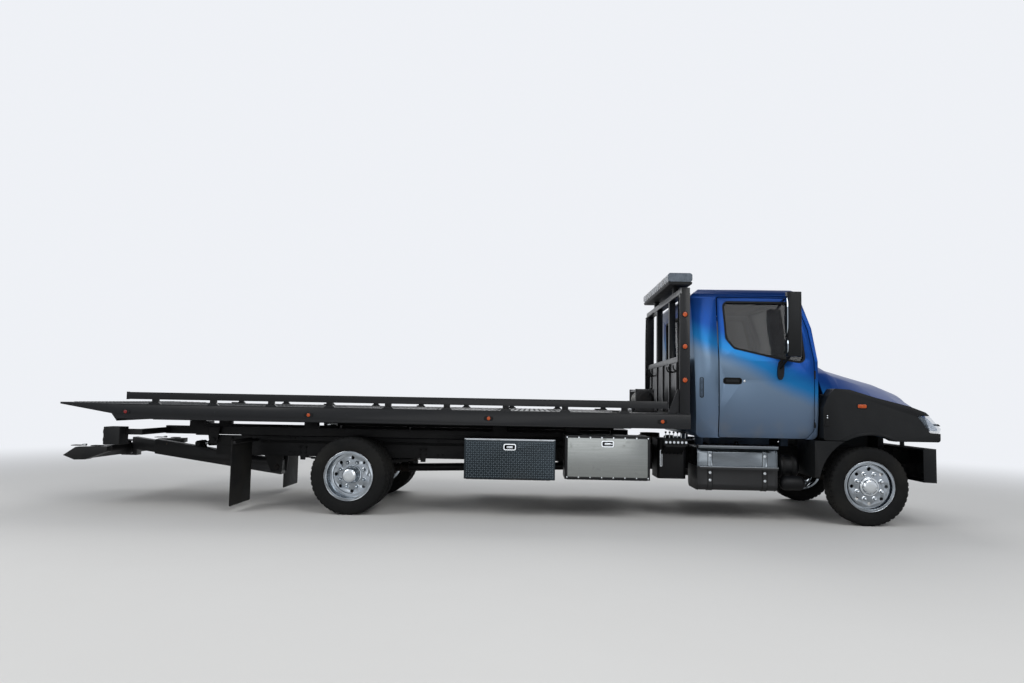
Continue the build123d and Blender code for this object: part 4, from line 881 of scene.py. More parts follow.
def doorShapes(look):
    # Seals are four rings laid on the cab's side at different depths; the rest is outlines carried straight
    window = look["window"]
    edge, sight = filleted(inset(window, -0.007), 0.067), filleted(inset(window, 0.015), 0.045)
    gasket = loops(onCab(edge, -0.006), onCab(edge, 0.0025), onCab(sight, 0.001), onCab(sight, -0.02))
    inside = loops(onCab(edge, -0.046), onCab(edge, -0.057), onCab(sight, -0.055), onCab(sight, -0.03))
    wiper = sweep(onCab([(doorRear + 0.25, 1.846), (doorRear + 0.47, 1.796), (doorRear + 0.68, 1.7475)],
                        -0.01), tapered(0.007, 0, 0.004, 0.012), alongY)
    rear, front, low, high = doorRear, doorFront, *look["armrest"]
    liner = prism(((rear + 0.045, 0.95), (front - 0.09, 0.95), (front - 0.03, 1.02), (front - 0.03, 1.66),
                   (rear + 0.16, 1.8), (rear + 0.045, 1.88)), 1.012, 1.034)
    armrest = prism(rounded(((rear + 0.18, low), (rear + 0.7, low), (rear + 0.74, high),
                             (rear + 0.16, high - 0.01)), 2), 0.945, 1.013)
    pull = tube([(rear + 0.62, 1.005, 1.48), (rear + 0.63, 0.965, 1.5), (rear + 0.72, 0.965, 1.58),
                 (rear + 0.73, 1.005, 1.6)], 0.011, alongZ, 8)
    pocket = prism(rounded(((rear + 0.15, 0.97), (rear + 0.78, 0.97), (rear + 0.8, 1.16),
                            (rear + 0.13, 1.18)), 2), 0.985, 1.013)
    knob = lathe(((0, 0), (0, 0.022), (0.018, 0.018), (0.02, 0)), (rear + 0.4, 1.012, 1.26), 16, (0, -1, 0))
    crank = tube([(rear + 0.4, 0.996, 1.26), (rear + 0.46, 0.992, 1.22), (rear + 0.5, 0.99, 1.19)], 0.007,
                 alongY, 8)
    return [(gasket, "rubber"), (inside, "rubber"), (wiper, "rubber"), (liner, "trim"),
            (armrest, "dash"), (pull, "dash"), (pocket, "dash"), (join(knob, crank), "plastic")]


def handleShapes(look):
    # A black cup round the sunk pocket, a shaped pull over it, and the lock beside it
    x, face = look["pull"], 1.1
    rim = border(x - 0.006, 1.464, x + 0.196, 1.536, 0.01, 0.029, 0.021, face - 0.01, face + 0.003)
    floor = prism(oblong(x + 0.001, 1.471, x + 0.189, 1.529, 0.023), face - 0.0145, face - 0.0115)
    grip = [(x + along, face + out)
            for along, out in ((0.004, -0.014), (0.026, 0.0095), (0.06, 0.0125), (0.13, 0.0125),
                               (0.164, 0.0095), (0.186, -0.014), (0.172, -0.014), (0.157, -0.0065),
                               (0.033, -0.0065), (0.018, -0.014))]
    cover = prism(grip, 1.484, 1.516, 2)
    barrel = lathe(((0, 0), (0, 0.013), (0.003, 0.013), (0.005, 0.01), (0.005, 0.006), (0.003, 0)),
                   (x + 0.222, face - 0.001, 1.5), 20)
    return [(rim, "plastic"), (floor, "plastic"), (cover, "plastic"), (barrel, "chrome")]


# Mirror: flat glass above, round-cornered wide glass below, facing the driver, in a ribbed shell
mirrorLook = {"x": frontAxle.x - 0.902, "across": (1.243, 1.337), "tall": (1.985, 2.4),
              "wide": (1.785, 1.95), "ribs": (1.82, 2.38, 9), "foot": (1.52, 1.73), "bolts": (1.56, 1.7)}


def mirrorShapes(look):
    # Rounded outlines carried straight: two panes, a foot on the door's side, and ribs at equal heights
    x, (y0, y1), wall = look["x"], look["across"], sideHalf(sum(look["foot"]) / 2 - 0.025)
    panes = [prism(rounded(((y0, low), (y1, low), (y1, high), (y0, high)), 2), x - 0.004, x + 0.004, 0)
             for low, high in (look["tall"], look["wide"])]
    ribs = copies(prism(((x + 0.03, 0.0), (x + 0.12, 0.0), (x + 0.12, 0.006), (x + 0.03, 0.006)), 1.344,
                        1.3448), [(0, 0, z) for z in np.linspace(*look["ribs"])])
    low, high = look["foot"]
    foot = prism(rounded([(x + dx, z)
                          for dx, z in ((-0.045, low), (0.028, low), (0.036, high), (-0.03, high))], 2),
                 wall - 0.004, wall + 0.02)
    bolts = bolted(alongY, 0.007, 0.006, [(x - 0.006, wall + 0.02, z) for z in look["bolts"]])
    return [*[(pane, "mirrorGlass") for pane in panes], (ribs, "plastic"), (foot, "plastic"),
            (bolts, "cast")]


for sideName, side in sides:
    piece("door_trim_" + sideName, "cab_door_" + sideName,
          onHand(doorShapes(doorLook), side), smooth=40)
    piece("door_handle_" + sideName, "cab_door_" + sideName,
          onHand(handleShapes(doorLook), side), bevel=0.002)
    piece("mirror_glass_" + sideName, "cab_door_" + sideName,
          onHand(mirrorShapes(mirrorLook), side), smooth=40)
print("doors and mirrors dressed")

# Windscreen: where its outside lies by height, its outline and the rear window's, and the parked wipers
screenLook = {"heights": (1.73, 2.085, 2.49), "stations": (0.0, -0.042, -0.167),
              "parked": ((-0.72, 0.05), (-0.02, 0.72)), "outline": tapered(0.87, 1.74, 0.8, 2.425),
              "rear": tapered(0.62, 1.76, 0.59, 2.26)}


def screenX(height):
    # Where the windscreen's outside lies at a height
    return cabFront + np.interp(height, screenLook["heights"], screenLook["stations"])


def rearX(height):
    # The cab's rear wall leans back as it rises
    return cabRear - 0.047 * (height - 0.89) / 1.546


def paneFrame(outline, wallX, outward):
    # A rubber frame whose outer lip lies on the wall and whose inner lip holds the pane
    edge, sight = filleted(inset(outline, -0.01), 0.07), filleted(inset(outline, 0.014), 0.046)
    rings = [np.stack([wallX(line[:, 1]) + outward * out, line[:, 0], line[:, 1]], -1)
             for line, out in ((edge, -0.008), (edge, 0.004), (sight, 0.002), (sight, -0.022))]
    return loops(*rings)


def screenShapes(look):
    # Pane frames lie on their walls; each wiper's blade follows the glass between two places across
    shapes = [(paneFrame(look["outline"], screenX, 1), "rubber"),
              (paneFrame(look["rear"], rearX, -1), "rubber")]
    for inner, outer in look["parked"]:
        heights = np.linspace(1.775, 1.8, 12)
        across = np.linspace(inner, outer, 12)
        blade = np.stack([screenX(heights) + 0.016, across, heights], -1)
        shapes.append((sweep(blade, tapered(0.004, -0.012, 0.006, 0.008), (1, 0, 0.1)), "rubber"))
        pivot = (cabFront + 0.033, inner + 0.06, 1.742)
        reach = float(screenX(1.787)) + 0.03
        arm = tube([pivot, (reach + 0.01, inner + 0.16, 1.765), (reach, (inner + outer) / 2, 1.792)], 0.007,
                   (1, 0, 0.3), 8)
        cap = lathe(((-0.02, 0), (-0.02, 0.02), (0.01, 0.02), (0.016, 0.012), (0.016, 0)), pivot, 20,
                    (0.4, 0, 1))
        shapes += [(arm, "frameBlack"), (cap, "plastic")]
    return shapes


# Cab outside: vent slots behind the doors, cowl louvres, roof ribs, rear vents and door hinges
cabLook = {"slot": (cabRear + 0.028, cabRear + 0.072, 1.315, 1.535), "slotRim": 0.006, "slatStep": 0.0125,
           "louvres": 3, "ribs": (-0.3, -0.1, 0.1, 0.3), "vents": (-0.62, 0.62),
           "ventRows": (1.02, 1.14, 0.022), "hinges": (1.06, 1.58)}


def cabShapes(look):
    # Slats and louvres are one section at equal steps; gutter and seals follow lines laid on the cab's side
    (x0, x1, low, high), rim = look["slot"], look["slotRim"]
    slatPlaces = [(0, 0, z) for z in np.arange(low + 0.01, high - 0.011, look["slatStep"])]
    slat = prism(((x0 + rim, 0), (x1 - rim, 0), (x1 - rim, 0.006), (x0 + rim, 0.006)), 1.096, 1.1015)
    slot = both(join(border(x0, low, x1, high, rim, 0.02, 0.014, 1.094, 1.104), copies(slat, slatPlaces)))
    slats = copies(prism(rounded(((0, -0.6), (0.012, -0.6), (0.012, 0.6), (0, 0.6)), 1), 0, 0.008, 2),
                   [(cabFront + 0.012 + 0.022 * k, 0, 1.733 - 0.007 * k) for k in range(look["louvres"])])
    drip = onCab(rounded([(cabRear + 0.06, 2.436), (cabRear + 0.6, 2.45), (cabFront - 0.235, 2.444)], 2,
                         False), 0.002)
    gutter = both(sweep(drip, rounded(tapered(0.007, 0, 0.005, 0.009), 1), alongY))
    sealLine = filleted(inset(doorLook["outline"], 0.001), 0.03)
    seal = both(tube(onCab(sealLine, -0.026), 0.0025, alongY, 6, True))
    ribs = join(*[sweep([(x, y, 2.5555 + lift)
                         for x, lift in ((cabRear + 0.17, -0.004), (cabRear + 0.22, 0.0),
                                         (cabFront - 0.34, -0.021), (cabFront - 0.28, -0.027))],
                        tapered(0.02, -0.006, 0.013, 0.004), alongZ) for y in look["ribs"]])
    vents = join(*[prism(((rearX(1.0) - 0.006, z), (rearX(1.0) + 0.01, z), (rearX(1.0) + 0.01, z + 0.012)),
                         y - 0.16, y + 0.16) for y in look["vents"] for z in np.arange(*look["ventRows"])])
    hinges = both(join(*[rod(-0.045, 0.045, 0.011, (doorFront + 0.004, sideHalf(z) - 0.008, z), 12, alongZ)
                         for z in look["hinges"]]))
    return [(slot, "plastic"), (slats, "plastic"), (gutter, "cabPaint"), (seal, "rubber"),
            (ribs, "cabPaint"), (vents, "plastic"), (hinges, "plastic")]


# Cab inside: instrument hood (height, radii, ends across), places of dials, vents, pedals and visors
insideLook = {"binnacle": (1.58, 0.1, 0.085, 0.27, 0.69), "dials": (0.4, 0.54, 1.585),
              "smallDials": (0.32, 0.62, 1.6), "vents": (-0.75, -0.15, 0.13, 0.85),
              "pedals": (0.36, 0.5, 0.62), "visors": (-0.45, 0.45)}


def insideShapes(look):
    # Blocks and rounded outlines carried across the cab; dials and knobs are lathed, facing the driver
    front, rear = cabFront, cabRear - 0.047
    facing = front - 0.372
    liner = block((rear + 0.11, -0.84, 2.462), (front - 0.25, 0.84, 2.474))
    back = prism(((cabRear + 0.051, 0.96), (cabRear + 0.058, 0.96), (rearX(1.73) + 0.058, 1.73),
                  (rearX(1.73) + 0.051, 1.73)), -0.98, 0.98)
    mat = block((rear + 0.1, -0.96, 0.942), (front - 0.1, 0.96, 0.948))
    height, outer, inner, near, far = look["binnacle"]
    hoodLine = [arc((front - 0.33, height), outer, 20, 175, 9),
                arc((front - 0.33, height), inner, 175, 20, 9)]
    binnacle = prism(np.concatenate(hoodLine), near, far)
    dial = lathe(((0, 0), (0, 0.052), (0.006, 0.052), (0.006, 0.046), (0.003, 0.045), (0.003, 0)), (0, 0, 0),
                 28, (-1, 0, 0.35))
    dials = copies(dial, [(facing, y, look["dials"][-1]) for y in look["dials"][:-1]])
    smallDial = lathe(((0, 0), (0, 0.024), (0.005, 0.024), (0.005, 0.019), (0.002, 0)), (0, 0, 0), 20,
                      (-1, 0, 0.35))
    smalls = copies(smallDial, [(facing, y, look["smallDials"][-1]) for y in look["smallDials"][:-1]])
    vent = join(*[block((facing, y - 0.06, 1.5 + 0.012 * k), (front - 0.362, y + 0.06, 1.505 + 0.012 * k))
                  for k in range(4) for y in look["vents"]])
    glove = prism(rounded(((-0.72, 1.3), (-0.26, 1.3), (-0.26, 1.46), (-0.72, 1.46)), 2), front - 0.362,
                  front - 0.345, 0)
    radio = block((front - 0.366, -0.1, 1.36), (front - 0.345, 0.12, 1.46))
    knobs = copies(lathe(((0, 0), (0, 0.013), (0.016, 0.011), (0.016, 0)), (0, 0, 0), 16, (-1, 0, 0)),
                   [(front - 0.366, y, 1.41) for y in (-0.07, 0.09)])
    stick = tube([(front - 0.5, 0.05, 0.95), (front - 0.54, 0.05, 1.15), (front - 0.6, 0.06, 1.32)], 0.009,
                 alongY, 8)
    grip = lathe(((-0.03, 0), (-0.022, 0.02), (0, 0.026), (0.022, 0.02), (0.03, 0)),
                 (front - 0.6, 0.06, 1.34), 16, alongZ)
    pedals = join(*[block((front - 0.32, y - 0.035, 1.03), (front - 0.3, y + 0.035, 1.12))
                    for y in look["pedals"]])
    pedalArms = join(*[tube([(front - 0.31, y, 1.1), (front - 0.24, y, 1.25)], 0.007, alongY, 6)
                       for y in look["pedals"]])
    visors = join(*[prism(rounded(((front - 0.24, 2.452), (front - 0.4, 2.44), (front - 0.4, 2.424),
                                   (front - 0.235, 2.436)), 1), y - 0.3, y + 0.3) for y in look["visors"]])
    lamp = block((rear + 0.6, -0.06, 2.452), (rear + 0.72, 0.06, 2.463))
    return [(liner, "trim"), (back, "trim"), (mat, "rubber"), (binnacle, "dash"), (dials, "plastic"),
            (smalls, "plastic"), (vent, "plastic"), (glove, "dash"), (radio, "plastic"), (knobs, "chrome"),
            (join(stick, grip), "plastic"), (pedals, "rubber"), (pedalArms, "frameBlack"), (visors, "trim"),
            (lamp, "whiteLens")]


piece("screen_trim", "chassis", screenShapes(screenLook), smooth=40)
piece("cab_trim", "chassis", cabShapes(cabLook), smooth=40)
piece("cab_inside_trim", "chassis", insideShapes(insideLook), bevel=0.002, smooth=40)
print("cab dressed")

# Headlamps: outline in side view, how far across they reach, and the bowls' places across and radii
lampLook = {"outline": ((frontAxle.x + 0.47, 1.17), (frontAxle.x + 0.628, 1.162),
                        (frontAxle.x + 0.745, 1.03), (frontAxle.x + 0.722, 0.975),
                        (frontAxle.x + 0.614, 0.987)), "across": (0.764, 1.19),
            "bowls": ((0.835, 0.056), (0.965, 0.056)), "signal": (1.085, 0.048), "back": frontAxle.x + 0.585,
            "height": 1.076}


def headlampShapes(look):
    # A clear cover whose outer end draws in, and bowls whose depth grows as the square of their radius
    near, far = look["across"]
    cover = lofted(*[flat(filleted(inset(look["outline"], shrink), 0.016), y) for y, shrink in
                     ((near, 0.002), (near + 0.006, 0.0), (far - 0.06, 0.0), (far - 0.026, 0.004),
                      (far - 0.008, 0.014), (far, 0.026))])
    x = frontAxle.x
    tub = prism(((x + 0.49, 1.152), (x + 0.57, 1.146), (x + 0.622, 1.006), (x + 0.6, 1.002)), near + 0.01,
                far - 0.02)
    shapes = [(cover, "clearLens"), (tub, "plastic")]
    reach = np.linspace(0.01, 1.0, 7)
    cups = [*[(cup, "reflector") for cup in look["bowls"]], (look["signal"], "amberLens")]
    for (y, radius), finish in cups:
        bowl = [(0.052 * r * r, radius * r) for r in reach] + [(0.055, radius * 1.06), (0.03, radius * 1.06)]
        bulb = ((0.006, 0.0), (0.008, 0.007), (0.03, 0.009), (0.038, 0.006), (0.04, 0.0))
        centre = (look["back"], y, look["height"])
        shapes += [(lathe(bowl, centre, 36, alongX), finish), (lathe(bulb, centre, 16, alongX), "whiteLens")]
    sideWall = prism(filleted(inset(look["outline"], 0.026), 0.01), far - 0.052, far - 0.048)
    ribs = copies(prism(((0, 0), (0.006, 0), (0.003, 0.002)), 1.03, 1.12, 2),
                  [(x + 0.545 + 0.01 * k, far - 0.048, 0) for k in range(9)])
    return shapes + [(sideWall, "reflector"), (ribs, "reflector")]


# Fender marker lamps, hood catches, grille mesh and surround
noseLook = {"marker": (frontAxle.x - 0.088, 1.254), "catch": (frontAxle.x - 0.452, 1.11),
            "grille": (0.6, 0.9, 1.16)}


def hoodTrimShapes(look):
    # Lamps are rounded outlines that draw in as they rise; the grille's mesh is thin bars at equal steps
    x, z = look["marker"]
    lensRings = [flat(oblong(x - 0.046 + cut, z - 0.019 + cut, x + 0.046 - cut, z + 0.019 - cut,
                             0.012 - cut / 2), y)
                 for y, cut in ((1.188, 0.0), (1.196, 0.0), (1.1995, 0.004), (1.2, 0.009))]
    marker = lofted(*lensRings)
    rim = border(x - 0.052, z - 0.025, x + 0.052, z + 0.025, 0.006, 0.018, 0.012, 1.189, 1.1965)
    x, z = look["catch"]
    strap = prism(filleted(((x - 0.016, z - 0.055), (x + 0.016, z - 0.055), (x + 0.011, z + 0.05),
                            (x - 0.011, z + 0.05)), 0.006), 1.189, 1.1975)
    grip = lathe(((-0.028, 0), (-0.028, 0.008), (-0.022, 0.0095), (0.022, 0.0095), (0.028, 0.008),
                  (0.028, 0)), (x, 1.193, z - 0.062), 14, alongX)
    screws = bolted(alongY, 0.0045, 0.003, [(x, 1.1975, z + 0.038), (x, 1.1975, z + 0.018)])
    half, low, high = look["grille"]
    front = hoodFront + 0.02
    surround = border(-half, low, half, high, 0.018, 0.035, 0.022, front - 0.002, front + 0.005, 0)
    uprights = copies(block((front - 0.036, -0.0015, low + 0.03), (front - 0.032, 0.0015, high - 0.03)),
                      [(0, y, 0) for y in np.linspace(-0.55, 0.55, 45)])
    rows = copies(block((front - 0.0375, -0.555, -0.001), (front - 0.0365, 0.555, 0.001)),
                  [(0, 0, z) for z in np.linspace(low + 0.04, high - 0.04, 9)])
    return [(both(marker), "amberLens"), (both(rim), "rubber"), (both(strap), "rubber"),
            (both(grip), "rubber"), (both(screws), "chrome"), (surround, "chrome"), (uprights, "plastic"),
            (rows, "plastic")]


lamps = piece("headlamp_units", "hood_body", paired(headlampShapes(lampLook)), smooth=40)
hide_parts("headlamps")
piece("hood_trim", "hood_body", hoodTrimShapes(noseLook), smooth=40)

# Bumper: bow in plan and lean in side view, and the fittings on its face
bumperLook = {"bow": 0.11, "half": 1.18, "lean": 0.12, "shoulder": 0.779, "slot": (0.5, 0.545, 0.65),
              "slotRim": 0.016, "rows": 4, "uprights": 28, "plate": (-0.152, 0.672, 0.152, 0.748),
              "fog": (0.8, 0.61), "bolts": (0.36, 0.44, 0.98), "boltHeight": 0.7}


def onBumper(outline, proud):
    # (y, z) points on the bumper, at the further back of its bow, which grows as y squared, and its lean
    outline = np.array(outline, float)
    y, z = outline[:, 0], outline[:, 1]
    x = nose - np.maximum(bumperLook["bow"] * (y / bumperLook["half"]) ** 2,
                          (bumperLook["shoulder"] - z) * bumperLook["lean"])
    return np.stack([x + proud, y, z], -1)


def slotLine(half, low, high, count=21):
    # A long slot's lower side from right to left, then its upper side back
    return np.concatenate([np.stack([np.linspace(-half, half, count), np.full(count, low)], -1),
                           np.stack([np.linspace(half, -half, count), np.full(count, high)], -1)])


def bumperShapes(look):
    # Outlines in (y, z) laid on the face at small depths; the slot's mesh is strips swept along that face
    half, low, high = look["slot"]
    rim = look["slotRim"]
    outline, inner = slotLine(half, low, high), slotLine(half - rim, low + rim, high - rim)
    frameRim = loops(onBumper(outline, -0.004), onBumper(outline, 0.006), onBumper(inner, 0.005),
                     onBumper(inner, -0.004))
    # The slot's back is a shallow dark fill: painted shade standing for the dark opening behind the mesh
    shadeFill = lofted(onBumper(inner, -0.006), onBumper(inner, 0.0012))
    slats = join(*[sweep(onBumper(np.stack([np.linspace(-half + 0.014, half - 0.014, 17), np.full(17, z)],
                                           -1), 0.0025), tapered(0.002, -0.003, 0.002, 0.003), alongX)
                   for z in np.linspace(low + 0.028, high - 0.028, look["rows"])])
    bars = join(*[sweep(onBumper([(y, low + 0.014), (y, (low + high) / 2), (y, high - 0.014)], 0.0025),
                        tapered(0.002, -0.003, 0.002, 0.003), alongX)
                  for y in np.linspace(-half + 0.04, half - 0.04, look["uprights"])])
    plate = lofted(*[onBumper(oblong(*look["plate"], 0.01), proud) for proud in (0.001, 0.0025)])
    y, z = look["fog"]
    spot = onBumper([(y, z)], 0.0)[0]
    fog = lathe(((-0.03, 0.0), (-0.03, 0.062), (0.006, 0.062), (0.01, 0.058), (0.004, 0.052), (0.004, 0.0)),
                spot, 32, alongX)
    fogLens = lathe(((0.003, 0.0525), (0.008, 0.05), (0.012, 0.03), (0.013, 0.0)), spot, 32, alongX)
    bolts = [onBumper([(side * across, look["boltHeight"])], 0.0)[0] for side in (-1, 1)
             for across in look["bolts"]]
    return [(frameRim, "plastic"), (shadeFill, "rubber"), (slats, "plastic"), (bars, "plastic"),
            (plate, "blankPlate"), (both(fog), "plastic"), (both(fogLens), "whiteLens"),
            (bolted(alongX, 0.009, 0.006, bolts), "chrome")]


piece("bumper_trim", "chassis", bumperShapes(bumperLook))
print("nose dressed")

# Step tanks and what hangs behind the front wheels
tankPlaces = {"rear": rearAxle.x + 3.727, "front": rearAxle.x + 4.577, "inner": 0.56, "outer": 1.06,
              "low": 0.33, "high": 0.79, "treads": (0.59, 0.81), "edge": 1.13, "straps": (0.135, 0.715),
              "capGrips": 12}


def tankShapes(look):
    # Studs stand on a grid on each step; seams and straps are round bars carried round the tank's outline
    rear, front, low, high = look["rear"], look["front"], look["low"], look["high"]
    near, far = look["inner"], look["outer"]
    stud = lofted(flat(arc((0, 0), 0.0095, 0, 360, 7)[:-1], 0, 2),
                  flat(arc((0, 0), 0.0055, 0, 360, 7)[:-1], 0.0035, 2))
    spots = [(x, y, z) for z in look["treads"] for y in (1.08, 1.103)
             for x in np.arange(rear + 0.035, front - 0.03, 0.027)]
    studs = copies(stud, spots)
    noses = join(*[sweep([(x, look["edge"], z - 0.004)
                          for x in (rear + 0.01, (rear + front) / 2, front - 0.01)],
                         tapered(0.004, 0.0, 0.003, 0.0035), alongY) for z in look["treads"]])
    around = oblong(near, low, far, high, 0.07, 8)
    seams = join(*[tube(flat(around, x, 0), 0.0045, alongX, 6, True) for x in (rear + 0.014, front - 0.014)])
    edges = join(*[tube(flat(oblong(near - 0.004, low - 0.004, far + 0.004, high + 0.004,
                                    0.07, 8), rear + strap + x, 0), 0.0025, alongX, 6, True)
                   for strap in look["straps"] for x in (-0.025, 0.025)])
    bolts = bolted(alongY, 0.01, 0.008, [(rear + strap, far + 0.004, z) for strap in look["straps"]
                                         for z in (0.44, 0.52, 0.7)])
    cap = lathe(((0, 0.0), (0.0, 0.05), (0.006, 0.05), (0.01, 0.044), (0.024, 0.044), (0.028, 0.038),
                 (0.03, 0.0)), (rear + 0.3, 0.8, high - 0.002), 28, alongZ)
    grips = spun(block((rear + 0.342, 0.796, high + 0.01), (rear + 0.348, 0.804, high + 0.026)),
                 (rear + 0.3, 0.8, 0), alongZ, evenly(look["capGrips"]))
    line = tube(rounded([(rear + 0.55, 0.62, high - 0.01), (rear + 0.55, 0.61, high + 0.035),
                         (rear + 0.55, 0.5, high + 0.035), (rear + 0.55, 0.468, high - 0.02)], 2, False),
                0.007, alongX, 8)
    return [(studs, "polish"), (noses, "polish"), (seams, "stepTank"), (edges, "rubber"), (bolts, "chrome"),
            (cap, "plastic"), (grips, "plastic"), (line, "rubber")]


# Air reservoirs between the step tank and the front wheel, on arms from the rail
reservoirLook = {"rear": tankPlaces["front"] + 0.035, "front": frontAxle.x - 0.625, "radius": 0.125,
                 "y": 0.79, "z": 0.58}


def reservoirShapes(look):
    # Domed drums lathed round a line along the rail, with hoops, arms and drops
    rear, y, middleZ, r = look["rear"], look["y"], look["z"], look["radius"]
    length = look["front"] - rear
    ends = ((0, 0), (0.012, r * 0.55), (0.034, r * 0.88), (0.055, r), (length - 0.055, r),
            (length - 0.034, r * 0.88), (length - 0.012, r * 0.55), (length, 0))
    drum = lathe(ends, (rear, y, middleZ), 36, alongX)
    small = lathe([(along, radius * 0.62) for along, radius in ends], (rear, 1.0, 0.42), 30, alongX)
    bands = join(*[band(0, 0.028, r, r + 0.004, (rear + x, y, middleZ), 36, alongX)
                   for x in (0.075, length - 0.103)])
    arms = join(*[prism(((0.462, 0.62), (y - r + 0.006, 0.6), (y - r + 0.006, 0.565), (0.462, 0.54)),
                        rear + x, rear + x + 0.028, 0) for x in (0.075, length - 0.103)])
    drops = join(*[prism(((y + 0.01, middleZ - r + 0.004), (1.0, 0.5), (1.012, 0.49),
                          (y + 0.05, middleZ - r - 0.012)), rear + x, rear + x + 0.02, 0)
                   for x in (0.079, length - 0.099)])
    valve = lathe(((0, 0), (0, 0.012), (0.02, 0.012), (0.02, 0.007), (0.034, 0.007), (0.034, 0)),
                  (rear + 0.15, y, middleZ - r + 0.002), 12, (0, 0, -1))
    return [(drum, "frameBlack"), (small, "frameBlack"), (bands, "cast"), (arms, "frameBlack"),
            (drops, "frameBlack"), (valve, "chrome")]


piece("step_tank_trim", "chassis", paired(tankShapes(tankPlaces)), smooth=40)
piece("air_reservoirs", "chassis", paired(reservoirShapes(reservoirLook)))

# Hydraulic tank on the right: its lever valves, the block they sit in (near, far, low, high), gauge and cap
hydraulicLook = {"x": rearAxle.x + 3.485, "y": -0.7, "levers": 6, "pitch": 0.042,
                 "block": (-1.13, -1.04, 0.8, 0.872), "capRidges": 24}


def hydraulicShapes(look):
    # Each lever repeats a rod, a knob, a spool and a hose at equal steps along the valve block
    x = look["x"]
    near, far, low, high = look["block"]
    half = look["levers"] * look["pitch"] / 2
    valves = block((x - half, near, low), (x + half, far, high))
    shelf = prism(((-0.899, 0.7), (-0.899, 0.79), (near, 0.799), (near, 0.789)), x - half + 0.02,
                  x + half - 0.02, 0)
    places = [x - half + look["pitch"] * (k + 0.5) for k in range(look["levers"])]
    rods = join(*[tube([(place, -1.1, high), (place, -1.104, high + 0.035), (place, -1.112, high + 0.062)],
                       0.0045, alongX, 8) for place in places])
    knobs = copies(lathe(((-0.012, 0), (-0.008, 0.009), (0.0, 0.0115), (0.008, 0.009), (0.012, 0)),
                         (0, 0, 0), 14, (0, -0.2, 1)), [(place, -1.114, high + 0.068) for place in places])
    spools = copies(rod(0, 0.024, 0.013, (0, 0, 0), 14, (0, -1, 0)),
                    [(place, near + 0.001, (low + high) / 2) for place in places])
    lines = join(*[tube(rounded([(place, far - 0.001, low + 0.03), (place, -0.99, low + 0.03),
                                 (place, -0.96, low - 0.03), (place, -0.93, low - 0.09),
                                 (place, -0.902, low - 0.1)], 2, False), 0.0075, alongX, 8)
                   for place in places])
    gauge = border(x - 0.13, 0.56, x - 0.106, 0.74, 0.006, 0.012, 0.006, -0.906, -0.899)
    capRidges = spun(block((x + 0.0435, look["y"] - 0.002, 0.872), (x + 0.0465, look["y"] + 0.002, 0.892)),
                     (x, look["y"], 0), alongZ, evenly(look["capRidges"]))
    drain = rod(0, 0.014, 0.016, (x, look["y"], 0.431), 6, (0, 0, -1))
    return [(valves, "cast"), (shelf, "frameBlack"), (rods, "chrome"), (knobs, "plastic"),
            (spools, "chrome"), (lines, "rubber"), (gauge, "chrome"), (capRidges, "plastic"),
            (drain, "cast")]


# Exhaust on the left: its middle, hoops, rolled ends (height and way up), shield, flutes and outlet
exhaustLook = {"x": rearAxle.x + 3.485, "y": 0.7, "bands": (0.48, 0.64, 0.8),
               "ends": ((0.855, 1), (0.425, -1)), "shield": 0.145, "shieldHeight": (0.45, 0.835),
               "fluteHeight": (0.47, 0.815), "tip": (1.08, 0.43)}


def exhaustShapes(look):
    # Hoops lathed round the upright silencer, a shield that is part of a wider circle, and a rolled tip
    x, y, shield = look["x"], look["y"], look["shield"]
    bands = join(*[band(-0.014, 0.014, 0.124, 0.129, (x, y, z), 40, alongZ) for z in look["bands"]])
    ends = join(*[lathe(((0, 0.125), (0.004 * up, 0.127), (0.01 * up, 0.12), (0.01 * up, 0.112), (0, 0.11)),
                        (x, y, z), 40, alongZ, True) for z, up in look["ends"]])
    shieldLine = [arc((x, y), shield, 20, 160, 17), arc((x, y), shield - 0.003, 20, 160, 17)[::-1]]
    wall = prism(np.concatenate(shieldLine), *look["shieldHeight"], 2)
    crests, roots = (arc((x, y), shield + out, 30, 150, 11) for out in (0.002, -0.002))
    flutes = join(*[prism(((a - 0.003, b), (a + 0.003, b), root), *look["fluteHeight"], 2)
                    for (a, b), root in zip(crests, roots)])
    tip = lathe(((-0.06, 0.0385), (-0.06, 0.041), (0.004, 0.041), (0.006, 0.038), (0.004, 0.034),
                 (-0.05, 0.033), (-0.05, 0.0)), (x, *look["tip"]), 28, (0, 0.994, -0.11))
    return [(shape, "exhaustSteel") for shape in (bands, ends, wall, flutes, tip)]


piece("hydraulic_trim", "chassis", hydraulicShapes(hydraulicLook))
piece("exhaust_trim", "chassis", exhaustShapes(exhaustLook))
print("tanks dressed")

# Raised lugs, as on tread plate: each is a six-sided frustum, turned one way and the other in turn
lugLook = {"long": 0.013, "wide": 0.0042, "high": 0.0022}


